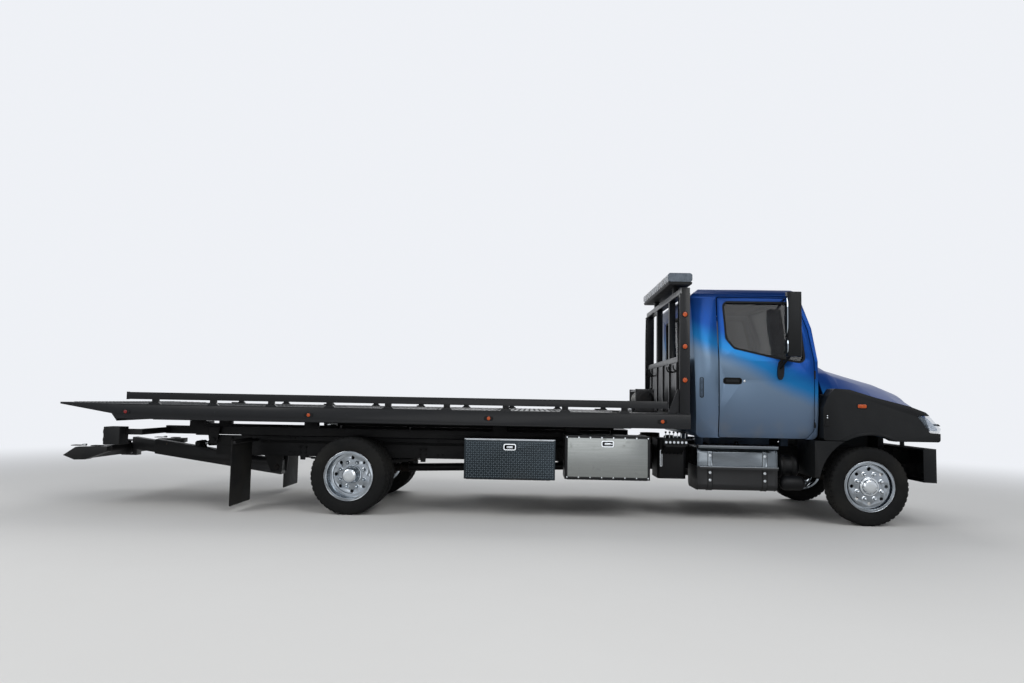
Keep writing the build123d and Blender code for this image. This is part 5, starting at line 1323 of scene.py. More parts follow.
def lugField(low, high, pitch, depth, axis, out=1, look=lugLook, keepOff=None):
    # A grid of places, of which every other one turns the other way; places inside keepOff are left out
    ends = np.array(((-1, 0), (-0.6, 1), (0.6, 1), (1, 0), (0.6, -1), (-0.6, -1)))
    a, b = (np.arange(low[k] + pitch * 0.6, high[k] - pitch * 0.4, pitch) for k in (0, 1))
    placeA, placeB = np.meshgrid(a, b, indexing="ij")
    parity = np.add(*np.meshgrid(np.arange(len(a)), np.arange(len(b)), indexing="ij")) % 2
    kept = np.ones_like(placeA, bool)
    if keepOff:
        a0, b0, a1, b1 = keepOff
        kept = ~((placeA > a0) & (placeA < a1) & (placeB > b0) & (placeB < b1))
    shapes = []
    for way in (0, 1):
        turn = math.pi / 4 * (1 - 2 * way)
        twist = np.array(((math.cos(turn), math.sin(turn)), (-math.sin(turn), math.cos(turn))))
        base = (ends * (look["long"], look["wide"])) @ twist
        top = (ends * (look["long"] * 0.7, look["wide"] * 0.4)) @ twist
        lug = lofted(flat(base, depth - 0.0004 * out, axis), flat(top, depth + look["high"] * out, axis))
        spots = np.stack([placeA[kept & (parity == way)], placeB[kept & (parity == way)]], -1)
        shapes.append(copies(lug, flat(spots, 0.0, axis)))
    return join(*shapes)


# Toolboxes: rear and front station, bottom and top. The rear pair is tread plate, the front pair polished.
boxLook = {"rear": (rearAxle.x + 1.24, rearAxle.x + 2.201, 0.412, 0.837),
           "front": (rearAxle.x + 2.309, rearAxle.x + 3.203, 0.43, 0.89), "face": 1.2003, "side": 1.18,
           "inner": 0.74}


def lidShapes(which, look):
    # A latch cup with its paddle, hinge knuckles at equal steps, then tread lugs or a framed mirror panel
    rear, front, low, high = look[which]
    face, centre = look["face"], (rear + front) / 2
    cup = border(centre - 0.066, high - 0.116, centre + 0.066, high - 0.048, 0.01, 0.02, 0.012, face - 0.002,
                 face + 0.003)
    steps = ((0.0, 0.007, 0.004), (0.0, 0.007, 0.0075), (0.004, 0.004, 0.009))
    paddle = lofted(*[flat(oblong(centre - 0.033 + cut, high - 0.095 + cut, centre + 0.033 - cut,
                                  high - 0.073 - cut, corner), face + out) for cut, corner, out in steps])
    lock = lathe(((0, 0), (0, 0.008), (0.006, 0.008), (0.007, 0.005), (0.005, 0.0)),
                 (centre + 0.045, face - 0.009, high - 0.084), 16)
    knuckles = join(*[rod(0, 0.044, 0.0055, (x, face - 0.008, low + 0.0035), 10, alongX)
                      for x in np.arange(rear + 0.02, front - 0.06, 0.047)])
    shapes = [(cup, "chrome"), (paddle, "chrome"), (lock, "chrome"), (knuckles, "cast")]
    if which == "rear":
        lugs = lugField((rear + 0.012, low + 0.014), (front - 0.012, high - 0.01), 0.024, face, 1,
                        keepOff=(centre - 0.078, high - 0.128, centre + 0.078, high - 0.036))
        hem = sweep([(x, face, high - 0.008) for x in (rear + 0.014, centre, front - 0.014)],
                    tapered(0.006, 0, 0.004, 0.004), alongY)
        return shapes + [(lugs, "treadLug"), (hem, "polish")]
    edge = oblong(rear + 0.026, low + 0.03, front - 0.026, high - 0.024, 0.012)
    hole = oblong(centre - 0.067, high - 0.117, centre + 0.067, high - 0.047, 0.021)
    panel = ring(edge, hole, face - 0.001, face + 0.0018)
    panelRim = ring(oblong(rear + 0.014, low + 0.018, front - 0.014, high - 0.012, 0.018), edge,
                    face - 0.002, face + 0.0045)
    screws = bolted(alongY, 0.005, 0.003,
                    [(x, face + 0.0045, z) for x in np.linspace(rear + 0.02, front - 0.02, 8)
                     for z in (low + 0.024, high - 0.018)])
    return shapes + [(panel, "mirrorSteel"), (panelRim, "bedBlack"), (screws, "chrome")]


def boxShapes(which, look):
    # A hem over the lid, a flange round each end, end plates with lugs, stays and a mat
    rear, front, low, high = look[which]
    face, side, inner = look["face"], look["side"], look["inner"]
    lip = block((rear, side - 0.004, high + 0.0004), (front, face + 0.008, high + 0.0034))
    hem = block((rear, face + 0.0055, high - 0.006), (front, face + 0.008, high + 0.0004))
    finish, hemFinish = ("treadPlate", "polish") if which == "rear" else ("bedBlack", "bedBlack")
    shapes = [(lip, hemFinish), (hem, hemFinish)]
    flanges = join(*[border(inner, low, side, high, 0.018, 0.01, 0.008, x - 0.002, x + 0.002, 0)
                     for x in (rear - 0.0015, front + 0.0015)])
    shapes.append((flanges, finish))
    if which == "rear":
        ends = join(*[lugField((inner + 0.02, low + 0.02), (side - 0.02, high - 0.02), 0.024, x, 0, out)
                      for x, out in ((rear, -1), (front, 1))])
        shapes.append((ends, "treadLug"))
    stays = join(*[tube([(x, side - 0.03, high - 0.05), (x, side - 0.16, high - 0.2)], 0.004, alongX, 6)
                   for x in (rear + 0.035, front - 0.035)])
    mat = block((rear + 0.02, inner + 0.02, low + 0.0055), (front - 0.02, side - 0.03, low + 0.01))
    return shapes + [(stays, "cast"), (mat, "rubber")]


for which in ("rear", "front"):
    for sideName, side in sides:
        piece("toolbox_lid_" + which + "_" + sideName, "box_door_" + which + "_" + sideName,
              onHand(lidShapes(which, boxLook), side))
    piece("toolbox_trim_" + which, "chassis", paired(boxShapes(which, boxLook)))
print("toolboxes dressed")

# Lamps along the bed's side and up the headboard's outer posts
markerLook = {"beam": (rearAxle.x + 3.324, rearAxle.x + 1.493, rearAxle.x - 0.426), "beamHeight": 1.055,
              "post": (1.496, 1.851, 2.193), "postX": headRear + 0.052, "tail": rearAxle.x - 2.4}


def markerShapes(look):
    # Each beam lamp is an oblong base with a lathed lens; each post lamp is lathed whole
    y = bedHalf
    parts = {"rubber": [], "amberLens": [], "redLens": []}
    for x, finish in [(place, "amberLens") for place in look["beam"]] + [(look["tail"], "redLens")]:
        z = look["beamHeight"]
        steps = [flat(oblong(x - 0.05 + cut, z - 0.022 + cut, x + 0.05 - cut, z + 0.022 - cut, 0.0215 - cut),
                      y + out) for out, cut in ((-0.001, 0.0), (0.005, 0.0), (0.008, 0.003))]
        parts["rubber"].append(lofted(*steps))
        parts[finish].append(lathe(((0.0, 0.0), (0.0, 0.0185), (0.002, 0.0185), (0.0035, 0.014),
                                    (0.004, 0.0)), (x, y + 0.0078, z), 28))
    for z in look["post"]:
        spot = (look["postX"], y, z)
        parts["rubber"].append(lathe(((0.0, 0.0), (0.0, 0.033), (0.005, 0.033), (0.008, 0.029),
                                      (0.007, 0.0)), spot, 32))
        parts["amberLens"].append(lathe(((0.006, 0.0), (0.006, 0.025), (0.009, 0.0245), (0.0115, 0.016),
                                         (0.012, 0.0)), spot, 32))
    return [(both(join(*shapes)), finish) for finish, shapes in parts.items()]


markers = piece("bed_marker_lamps", "bed", markerShapes(markerLook))
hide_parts("marker_lamps")

# Light bar: ends along X, heights of its base, seam and top, how many blocks, and which of them are clear
barLook = {"x": (headRear - 0.075, headFront + 0.09), "z": (2.56, 2.59, 2.689), "half": 0.945, "blocks": 14,
           "clear": (0, 1, 3, 5, 6, 7, 8, 10, 12, 13)}


def barShapes(look):
    # Equal blocks side by side, each an outline that draws in a little at both ends
    rear, front = look["x"]
    low, seam, high = look["z"]
    half, feet = look["half"], headRear + 0.02
    base = prism(filleted(((rear + 0.015, low), (front - 0.01, low), (front, seam), (rear, seam)), 0.008, 4),
                 -half, half)
    width = 2 * half / look["blocks"]
    parts = {"barLens": [], "barDark": [], "plastic": []}
    for count in range(look["blocks"]):
        start = -half + width * count
        rings = [flat(oblong(rear + cut, seam + cut * 0.5, front - cut, high - cut, 0.03 - cut, 5), y)
                 for y, cut in ((start + 0.002, 0.004), (start + 0.006, 0.0), (start + width - 0.006, 0.0),
                                (start + width - 0.002, 0.004))]
        parts["barLens" if count in look["clear"] else "barDark"].append(lofted(*rings))
    seams = copies(prism(oblong(rear + 0.004, seam, front - 0.004, high - 0.004, 0.027, 5), -0.003, 0.003),
                   [(0, -half + width * count, 0) for count in range(1, look["blocks"])])
    spine = prism(filleted(((rear + 0.1, high - 0.002), (front - 0.1, high - 0.002), (front - 0.105, high),
                            (rear + 0.105, high)), 0.0008, 3), -half + 0.01, half - 0.01)
    stands = both(join(block((feet, 0.61, 2.548), (feet + 0.075, 0.71, 2.5605)),
                       block((feet, 0.61, 2.478), (feet + 0.075, 0.71, 2.486))))
    parts["plastic"] += [base, seams, spine]
    return [(join(*shapes), finish) for finish, shapes in parts.items()] + [(stands, "bedBlack")]


bar = piece("light_bar_blocks", "bed", barShapes(barLook))
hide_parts("light_bar")

# Headboard: ribs on the closed panel, feet with bolts, gussets, hooks for chains, and a wire loom
headboardLook = {"ribs": (-0.9, -0.44, 0.0, 0.44, 0.9), "ribHeight": (1.15, 1.7), "footBolts": (0.07, 0.03),
                 "postBands": (1.742, 2.408), "hooks": (0.62, 0.74, 1.02)}


def headboardShapes(look):
    # Blocks and plates at the posts, and round bars carried along lines whose corners are cut twice
    x, y, (low, high) = headRear, bedHalf, look["ribHeight"]
    ribs = copies(block((x + 0.022, -0.02, low), (x + 0.041, 0.02, high)),
                  [(0, place, 0) for place in look["ribs"]])
    feet = both(block((x - 0.03, y - 0.092, deckZ), (headFront + 0.008, y - 0.006, deckZ + 0.012)))
    bolts = both(bolted(alongZ, 0.011, 0.009, [(x - 0.015, y - inward, deckZ + 0.012)
                                               for inward in look["footBolts"]]))
    gusset = both(prism(((x - 0.12, deckZ), (x, deckZ), (x, deckZ + 0.26), (x - 0.018, deckZ + 0.26)),
                        y - 0.046, y - 0.036))
    posts = both(join(*[prism(((x - 0.004, z), (x + 0.109, z), (x + 0.109, z + 0.01), (x - 0.004, z + 0.01)),
                              y - 0.083, y - 0.001) for z in look["postBands"]]))
    hooks = both(join(*[tube(rounded([(x + 0.039, place, 1.6), (x - 0.01, place, 1.6),
                                      (x - 0.03, place, 1.63), (x - 0.03, place, 1.66)], 2, False), 0.008,
                             alongY, 10) for place in look["hooks"]]))
    loom = both(tube(rounded([(x - 0.004, y - 0.066, deckZ + 0.05), (x - 0.008, y - 0.066, 1.6),
                              (x - 0.006, y - 0.066, 2.36), (x + 0.01, y - 0.1, 2.415),
                              (x + 0.01, 0.72, 2.415), (x + 0.012, 0.66, 2.424)], 2, False), 0.007,
                     (0.6, 0.8, 0), 8))
    return [(ribs, "bedBlack"), (feet, "bedBlack"), (bolts, "cast"), (gusset, "bedBlack"),
            (posts, "bedBlack"), (hooks, "cast"), (loom, "rubber")]


piece("headboard_trim", "bed", headboardShapes(headboardLook), bevel=0.0015)

# Deck: steps between lugs, plates and slots, tie-down rings, and grips on the tail
deckLook = {"lugPitch": 0.058, "slotRows": (0.36, 0.98), "slotStep": 0.62,
            "rings": (-3.7, -2.42, -1.14, 0.14, 1.3), "ringY": 1.13, "plate": 1.22, "grips": 6,
            "gripStep": 0.088, "teeth": 31}


def deckShapes(look):
    # Lugs, slots and rings repeat at equal steps; the tail's grips follow its slope
    rear, front = bedRear, winchX - 0.2
    lugs = lugField((rear + 0.03, -1.185), (front, 1.185), look["lugPitch"], deckZ, 2,
                    look={"long": 0.019, "wide": 0.005, "high": 0.0018})
    seams = copies(block((-0.002, -1.2, deckZ - 0.001), (0.002, 1.2, deckZ + 0.0012)),
                   [(x, 0, 0) for x in np.arange(rear + look["plate"], front, look["plate"])])
    slots = [(x, y, 0) for y in look["slotRows"]
             for x in np.arange(rear + 0.35, front - 0.1, look["slotStep"])]
    rim = ring(oblong(-0.05, -0.02, 0.05, 0.02, 0.0195), oblong(-0.04, -0.011, 0.04, 0.011, 0.0105),
               deckZ - 0.001, deckZ + 0.0035, 2)
    # Each slot's hole is a shallow dark fill: painted shade standing for the dark inside the slot
    shadeFill = prism(oblong(-0.041, -0.012, 0.041, 0.012, 0.0115), deckZ - 0.0005, deckZ + 0.0022, 2)
    rims, shadeFills = both(copies(rim, slots)), both(copies(shadeFill, slots))
    ringBar = tube(flat(filleted(tapered(0.03, -0.034, 0.03, 0.03), 0.024), 0.011, 2), 0.0055, alongZ, 8,
                   True)
    cleat = block((-0.04, 0.022, 0.0), (0.04, 0.044, 0.016))
    ties = [(x, look["ringY"], deckZ) for x in look["rings"]]
    rings, cleats = both(copies(ringBar, ties)), both(copies(cleat, ties))
    teeth = []
    for count in range(look["grips"]):
        x = rear - 0.07 - look["gripStep"] * count
        top = deckZ + 0.008 * (rear - x) / 0.625
        teeth.append(copies(prism(((x - 0.012, top - 0.001), (x + 0.012, top - 0.001),
                                   (x - 0.008, top + 0.007)), -0.03, 0.03),
                            [(0, y, 0) for y in np.linspace(-1.14, 1.14, look["teeth"])]))
    return [(lugs, "deckSteel"), (seams, "bedBlack"), (rims, "deckSteel"), (shadeFills, "rubber"), (rings, "cast"),
            (cleats, "deckSteel"), (join(*teeth), "deckSteel")]


# Side rails and beams: caps on the rail's ends, a foot and bolts at each post, and two strips along the beam
railLook = {"posts": [rearAxle.x - 2.09 + 0.627 * count for count in range(9)], "low": 1.19, "high": 1.266,
            "strips": (1.1335, 0.986)}


def railShapes(look):
    # One cap, one foot and one pair of bolts repeated along the rail, and a strip swept along the beam
    y = bedHalf
    caps = copies(block((-0.006, y - 0.048, look["low"] - 0.003), (0.006, y, look["high"] + 0.003)),
                  [(bedRear + 0.1, 0, 0), (bedFront - 0.25, 0, 0)])
    feet = copies(prism(((-0.06, deckZ), (0.06, deckZ), (0.036, deckZ + 0.022), (-0.036, deckZ + 0.022)),
                        y - 0.04, y - 0.003), [(x, 0, 0) for x in look["posts"]])
    strips = [sweep([(x, y - 0.001, height) for x in (bedRear + 0.01, 0, bedFront - 0.01)],
                    tapered(0.006, -0.003, 0.004, 0.0035), alongY) for height in look["strips"]]
    joints = bolted(alongY, 0.007, 0.005, [(x + dx, y - 0.004, 1.166) for x in look["posts"]
                                           for dx in (-0.018, 0.018)])
    return [(caps, "bedBlack"), (feet, "bedBlack"), *[(strip, "bedBlack") for strip in strips],
            (joints, "cast")]


piece("deck_trim", "bed", deckShapes(deckLook), smooth=30)
piece("rail_trim", "bed", paired(railShapes(railLook)))

# Winch: rope in two layers, motor ribs, gear case, tie bars, clutch lever and a roller guide
winchLook = {"z": deckZ + 0.15, "drum": 0.076, "rope": 0.0055, "layers": 2, "from": -0.281, "to": 0.181,
             "motorRibs": (0.25, 0.266, 0.282, 0.298, 0.314), "gearBolts": 10, "rollers": (1.165, 1.245),
             "footBolts": (-0.305, -0.08, 0.08, 0.305)}


def ropeTurns(look):
    # The wound rope's outside: its radius rises and falls as a half circle once for each turn
    pitch = look["rope"] * 2
    turns = int((look["to"] - look["from"]) / pitch)
    across = np.linspace(0, turns, turns * 6 + 1)
    crown = np.sqrt(np.clip(1 - ((across % 1) * 2 - 1) ** 2, 0, 1))
    radius = look["drum"] + look["rope"] * 2 * (look["layers"] - 1) + look["rope"] * (0.9 + crown)
    profile = np.stack([look["from"] + across * pitch, radius], -1)
    profile = np.concatenate([[[look["from"], look["drum"] - 0.002]], profile,
                              [[look["from"] + turns * pitch, look["drum"] - 0.002]]])
    return lathe(profile, (winchX, 0, look["z"]), 48)


def winchShapes(look):
    # Housings, bars and rollers lathed round lines across the bed, with blocks and bolts on the frame
    x, z = winchX, look["z"]
    motorRibs = join(*[band(0, 0.006, 0.059, 0.064, (x, y, z), 32, alongY) for y in look["motorRibs"]])
    motorCap = lathe(((0, 0.06), (0.003, 0.056), (0.005, 0.03), (0.005, 0.0)), (x, 0.3395, z), 32)
    gear = lathe(((0, 0.0), (0, 0.105), (0.02, 0.105), (0.04, 0.092), (0.062, 0.07), (0.066, 0.0)),
                 (x, -0.33, z), 36, (0, -1, 0))
    gearBolts = spun(bolted((0, -1, 0), 0.007, 0.006, [(x + 0.096, -0.35, z)]), (x, -0.35, z), alongY,
                     evenly(look["gearBolts"]))
    bars = join(*[rod(0, 0.545, 0.012, (x + dx, -0.332, up), 14)
                  for dx, up in ((-0.092, deckZ + 0.245), (0.092, deckZ + 0.245), (0.092, deckZ + 0.04))])
    stick = tube([(x + 0.03, -0.398, z + 0.03), (x + 0.045, -0.405, z + 0.085),
                  (x + 0.06, -0.405, z + 0.12)], 0.006, alongY, 8)
    knob = lathe(((-0.012, 0), (-0.008, 0.01), (0, 0.013), (0.008, 0.01), (0.012, 0)),
                 (x + 0.063, -0.405, z + 0.126), 14, (0.4, 0, 1))
    rollers = join(*[rod(0, 0.4, 0.016, (x - 0.128, -0.24, up), 16) for up in look["rollers"]])
    rollerEnds = join(*[block((x - 0.146, y, deckZ + 0.011), (x - 0.108, y + 0.01, 1.27))
                        for y in (-0.252, 0.162)])
    bolts = bolted(alongZ, 0.011, 0.009, [(x + dx, y, deckZ + 0.012) for dx in (-0.135, 0.135)
                                          for y in look["footBolts"]])
    return [(motorRibs, "cast"), (motorCap, "cast"), (gear, "cast"), (gearBolts, "cast"), (bars, "bedBlack"),
            (join(stick, knob), "plastic"), (rollers, "chrome"), (rollerEnds, "bedBlack"), (bolts, "cast")]


piece("winch_rope", "drum", [(ropeTurns(winchLook), "rope")], smooth=80)
piece("winch_trim", "bed", winchShapes(winchLook))
print("bed dressed")

# Underbody: rail bolts, spring clips, brake chambers, dampers, air lines and their clamps
underLook = {"rail": 0.4625, "springs": ((frontAxle.x, 0.464, 0.065), (rearAxle.x, 0.486, 0.075)),
             "members": (4.397, 2.217, 1.067, 0.465, -0.645, -2.375), "line": (0.4685, 0.735),
             "hangers": (4.512, 3.347, -0.845, -2.245), "lines": (0.0, 0.011, 0.022),
             "chambers": ((rearAxle.x + 0.165, 0.36, rearAxle.z + 0.03),
                          (frontAxle.x - 0.15, 0.6, frontAxle.z + 0.04)),
             "dampers": ((frontAxle.x + 0.12, -0.25), (rearAxle.x + 0.12, 0.25)), "damperFoot": (0.5, 0.4)}


def underShapes(look):
    # Bolts, bows and clamps at each station; chambers, dampers and air lines are lathed or swept
    rail = look["rail"]
    spots = [(x + dx, rail + 0.001, z) for x in look["members"] for dx in (-0.028, 0.028)
             for z in (0.6, 0.765)]
    spots += [(x + dx, rail + 0.013, z) for x in look["hangers"] for dx in (-0.03, 0.03)
              for z in (0.6, 0.66)]
    bolts = bolted(alongY, 0.01, 0.008, spots)
    clips = []
    for x, z, tall in look["springs"]:
        for dx in (-0.072, 0.072):
            bow = [(x + dx, 0.38, z - 0.035), (x + dx, 0.38, z + tall), (x + dx, 0.468, z + tall),
                   (x + dx, 0.468, z - 0.035)]
            clips.append(tube(bow, 0.008, alongX, 8))
    chambers = []
    for x, y, z in look["chambers"]:
        chambers.append(lathe(((0, 0.0), (0, 0.04), (0.01, 0.072), (0.045, 0.078), (0.05, 0.084),
                               (0.06, 0.084), (0.065, 0.076), (0.105, 0.07), (0.12, 0.045), (0.12, 0.0)),
                              (x, y, z), 28, (0, -1, 0.15)))
        chambers.append(tube([(x, y - 0.005, z), (x - 0.06, y + 0.02, z - 0.02)], 0.016, alongZ, 10))
    dampers = join(*[join(rod(0, 0.2, 0.02, (x, *look["damperFoot"]), 16, (lean, 0, 1)),
                          rod(0.19, 0.36, 0.026, (x, *look["damperFoot"]), 16, (lean, 0, 1)),
                          rod(-0.035, 0.035, 0.016, (x, *look["damperFoot"]), 12, alongY))
                     for x, lean in look["dampers"]])
    lines = join(*[sweep([(x, look["line"][0], look["line"][1] - drop)
                          for x in (rearAxle.x - 1.2, 0.8, 3.2, 4.3)],
                         [(0.004 * math.cos(a), 0.004 * math.sin(a)) for a in np.arange(6) * math.pi / 3],
                         alongY) for drop in look["lines"]])
    clamps = copies(block((-0.008, rail - 0.001, 0.702), (0.008, look["line"][0] + 0.006, 0.744)),
                    [(x, 0, 0) for x in np.arange(rearAxle.x - 1.1, 4.2, 0.42)])
    return [(bolts, "cast"), (join(*clips), "cast"), (join(*chambers), "frameBlack"),
            (dampers, "frameBlack"), (lines, "rubber"), (clamps, "cast")]


# Shaft: the collars' places at its two ends, and bolts round the axle's cover
shaftLook = {"start": (-1.235, 0, 0.412), "end": (2.571, 0, 0.52), "collarIn": 0.05, "coverBolts": 12}


def shaftShapes(look):
    # Collars lathed round the line between the shaft's ends, and bolts spun round the axle's middle
    start, end = np.array(look["start"]), np.array(look["end"])
    heading = (end - start) / np.linalg.norm(end - start)
    collar = ((0, 0.0), (0, 0.062), (0.014, 0.062), (0.018, 0.05), (0.09, 0.05), (0.1, 0.058),
              (0.112, 0.058), (0.112, 0.0))
    shapes = [lathe(collar, start + heading * look["collarIn"], 24, heading),
              lathe(collar, end - heading * look["collarIn"], 24, -heading)]
    cover = spun(bolted((-1, 0, 0), 0.009, 0.007, [(rearAxle.x - 0.155, 0.125, rearAxle.z)]),
                 (rearAxle.x, 0, rearAxle.z), alongX, evenly(look["coverBolts"]))
    return [(join(*shapes), "cast"), (cover, "cast")]


# Tail lamps: place across, height, radius and finish of each round lens
tailLook = {"face": rearAxle.x - 2.637,
            "lamps": ((1.098, 0.838, 0.036, "redLens"), (1.195, 0.838, 0.036, "redLens"),
                      (1.098, 0.752, 0.034, "whiteLens"), (1.195, 0.752, 0.034, "amberLens"))}


def tailShapes(look):
    # A lens that falls off towards its rim, and a hoop round it
    shapes = []
    for y, z, radius, finish in look["lamps"]:
        spot = (look["face"], y, z)
        dome = [(0.0, 0.0), (0.0, radius), (0.004, radius), (0.009, radius * 0.8), (0.012, radius * 0.4),
                (0.0125, 0.0)]
        shapes.append((lathe(dome, spot, 32, (-1, 0, 0)), finish))
        rim = [(-0.001, radius), (0.005, radius + 0.001), (0.006, radius + 0.004), (-0.001, radius + 0.006)]
        shapes.append((lathe(rim, spot, 32, (-1, 0, 0), True), "rubber"))
    return shapes


# Mud flaps: the sheet's outline in (y, z), and the clamp's bolts
flapLook = {"x": rearAxle.x - 1.2575, "edge": (0.601, 0.071, 1.189, 0.769), "bolts": (0.65, 1.14, 6),
            "boltHeight": 0.745}


def flapShapes(look):
    # Thin blocks on the sheet, and a round bead carried along its rounded outline
    x = look["x"]
    clamp = block((x - 0.009, 0.61, 0.725), (x - 0.0025, 1.18, 0.765))
    bolts = bolted((-1, 0, 0), 0.008, 0.006, [(x - 0.009, y, look["boltHeight"])
                                              for y in np.linspace(*look["bolts"])])
    bead = tube(flat(oblong(*look["edge"], 0.012), x - 0.0007, 0), 0.0055, alongX, 6, True)
    weight = block((x - 0.007, 0.64, 0.088), (x - 0.0025, 1.15, 0.118))
    return [(clamp, "frameBlack"), (bolts, "cast"), (bead, "rubber"), (weight, "polish")]


# Wheel lift: each pin's distance from the rear axle, height and half length
liftLook = {"pins": ((-1.12, 0.395, 0.118), (-2.1, 0.66, 0.112))}


def liftShapes(look):
    # Pins lathed round a line across the boom, with cut ends
    pins = join(*[lathe(((-half, 0), (-half, 0.03), (-half + 0.01, 0.034), (half - 0.01, 0.034),
                         (half, 0.03), (half, 0.0)), (rearAxle.x + dx, 0, z), 20)
                  for dx, z, half in look["pins"]])
    return [(pins, "cast")]


# Wheel lift's crossbar: middle, the pads' place across, the faces' heights and the bolts' places across
crossLook = {"x": rearAxle.x - 3.0, "pad": 0.945, "padHeight": 0.664, "top": 0.646,
             "bolts": (0.2, 0.32, 0.7)}


def crossShapes(look):
    # Pads and a lathed pin on each end's plate, and bolts along the bar's top
    x, y, z = look["x"], look["pad"], look["padHeight"]
    pads = both(copies(block((-0.05, y - 0.045, z), (0.05, y + 0.045, z + 0.008)),
                       [(x - 0.08, 0, 0), (x + 0.14, 0, 0)]))
    pins = both(lathe(((0, 0), (0, 0.022), (0.01, 0.024), (0.022, 0.024), (0.024, 0.01), (0.024, 0)),
                      (x, y, z), 20, alongZ))
    bolts = both(bolted(alongZ, 0.012, 0.009, [(x, place, look["top"]) for place in look["bolts"]]))
    return [(pads, "rubber"), (pins, "chrome"), (bolts, "cast")]


piece("under_trim", "chassis", paired(underShapes(underLook)), smooth=40)
piece("shaft_trim", "chassis", shaftShapes(shaftLook), smooth=40)
piece("tail_lamp_lenses", "subframe", paired(tailShapes(tailLook)), smooth=40)
piece("mud_flap_trim", "chassis", paired(flapShapes(flapLook)), smooth=40)
piece("lift_boom_trim", "boom", liftShapes(liftLook), smooth=40)
piece("lift_crossbar_trim", "cross_bar", crossShapes(crossLook), smooth=40)
print("underbody dressed")

# Seats: crowned pads, fuller away from the seams. Cushion, back and rest give their ends along X, half width
# and ends in height; each row of the base is a rounded outline and its height.
seatLook = {"y": 0.48, "cushion": ((2.465, 2.985), 0.252, (1.225, 1.375)),
            "back": ((2.371, 2.601), 0.242, (1.365, 2.005)), "rest": ((2.366, 2.47), 0.132, (2.01, 2.185)),
            "crown": 0.022, "channel": 0.01, "channelWidth": 0.022, "grade": 0.42,
            "base": ((2.541, 2.881, 0.17, 0.03, 0.94), (2.555, 2.867, 0.155, 0.03, 1.1),
                     (2.52, 2.9, 0.2, 0.04, 1.185), (2.5, 2.93, 0.22, 0.04, 1.232)),
            "bellows": (1.0, 1.03, 1.06)}


def signedPower(value, grade):
    # A power that keeps its value's sign
    return np.sign(value) * np.abs(value) ** grade


def padShape(size, lean, channels, look, count=(40, 34)):
    # A closed pad: cross-sections are superellipses, swollen by a bow that is largest in the middle. Each
    # sewn channel is a dip shaped as a bell curve along the height.
    deep, half, tall = size
    around = np.linspace(0, 2 * math.pi, count[0], endpoint=False)[None, :]
    up = np.linspace(-1, 1, count[1])[:, None]
    shrink = (1 - np.abs(up) ** 7) ** look["grade"]
    x = signedPower(np.cos(around), look["grade"]) * shrink * deep
    y = signedPower(np.sin(around), look["grade"]) * shrink * half
    bow = np.cos(y / half * math.pi / 2) * np.cos(up * math.pi / 2)
    x = x + np.sign(np.cos(around)) * bow * look["crown"] * np.abs(np.cos(around))
    for place in channels:
        dip = np.exp(-((up - place) / look["channelWidth"]) ** 2) * look["channel"]
        x = x - np.cos(around) * dip * shrink
    x = x + lean * up
    return surface(np.stack([x, y + up * 0, up * tall + around * 0], -1), False, True)


def seatPad(size, centre, lean, channels, flatWise, look):
    # The pad stood upright, or laid flat by turning its height forwards
    points, faces = padShape(size, lean, channels, look)
    if flatWise:
        points = points[:, (2, 1, 0)]
    return points + np.array(centre), faces


def seatShapes(look):
    # Three pads from their boxes, a base of rounded rings, bellows, posts and a buckle
    y = look["y"]
    (x0, x1), half, (z0, z1) = look["cushion"]
    cushion = seatPad(((z1 - z0) / 2 - look["crown"] * 0.6, half, (x1 - x0) / 2),
                      ((x0 + x1) / 2, y, (z0 + z1) / 2), 0.006, (-0.55, -0.15, 0.25, 0.62), True, look)
    (x0, x1), half, (z0, z1) = look["back"]
    back = seatPad((0.052, half, (z1 - z0) / 2), ((x0 + x1) / 2, y, (z0 + z1) / 2), -0.05,
                   (-0.5, -0.1, 0.3, 0.66), False, look)
    (x0, x1), half, (z0, z1) = look["rest"]
    rest = seatPad((0.034, half, (z1 - z0) / 2), ((x0 + x1) / 2, y, (z0 + z1) / 2), -0.012, (), False, look)
    base = lofted(*[flat(oblong(x0, y - wide, x1, y + wide, corner), up, 2)
                    for x0, x1, wide, corner, up in look["base"]])
    folds = ((0.0, 0.0), (0.012, 0.011), (0.0, 0.022), (-0.004, 0.011))
    fold = loops(*[flat(oblong(2.56 - out, y - 0.16 - out, 2.862 + out, y + 0.16 + out, 0.03), up, 2)
                   for out, up in folds])
    bellows = copies(fold, [(0, 0, z) for z in look["bellows"]])
    posts = join(*[tube([(2.4, y + dy, 1.985), (2.412, y + dy, 2.03)], 0.006, alongY, 8)
                   for dy in (-0.055, 0.055)])
    buckle = block((2.62, y - 0.285, 1.27), (2.65, y - 0.262, 1.4))
    return (cushion, back, rest), [(base, "dash"), (bellows, "rubber"), (posts, "chrome"),
                                   (buckle, "plastic")]


pads, supports = seatShapes(seatLook)
pads = [(both(pad), "cloth") for pad in pads]
seat = piece("seat_pads", "chassis", pads, smooth=80)
frameSeat = piece("seat_bases", "chassis", paired(supports), smooth=40)
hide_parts("seats")
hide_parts("seats")
print("seats made")

# World, lamps and floor: pale, soft, at a plain level
studioLook = {"floor": "#d3d2cf", "sky": (0.86, 0.88, 0.92, 1.0), "zenith": (0.3, 0.36, 0.46, 1.0),
              "fill": 0.55, "fade": (6.5, 14.0),
              "lamps": (((5.5, -10.0, 8.5), 7.0, 620.0), ((-7.5, -7.0, 6.5), 6.0, 360.0),
                        ((1.0, 8.5, 9.0), 8.0, 560.0), ((0.4, -12.0, 1.6), 5.0, 90.0))}


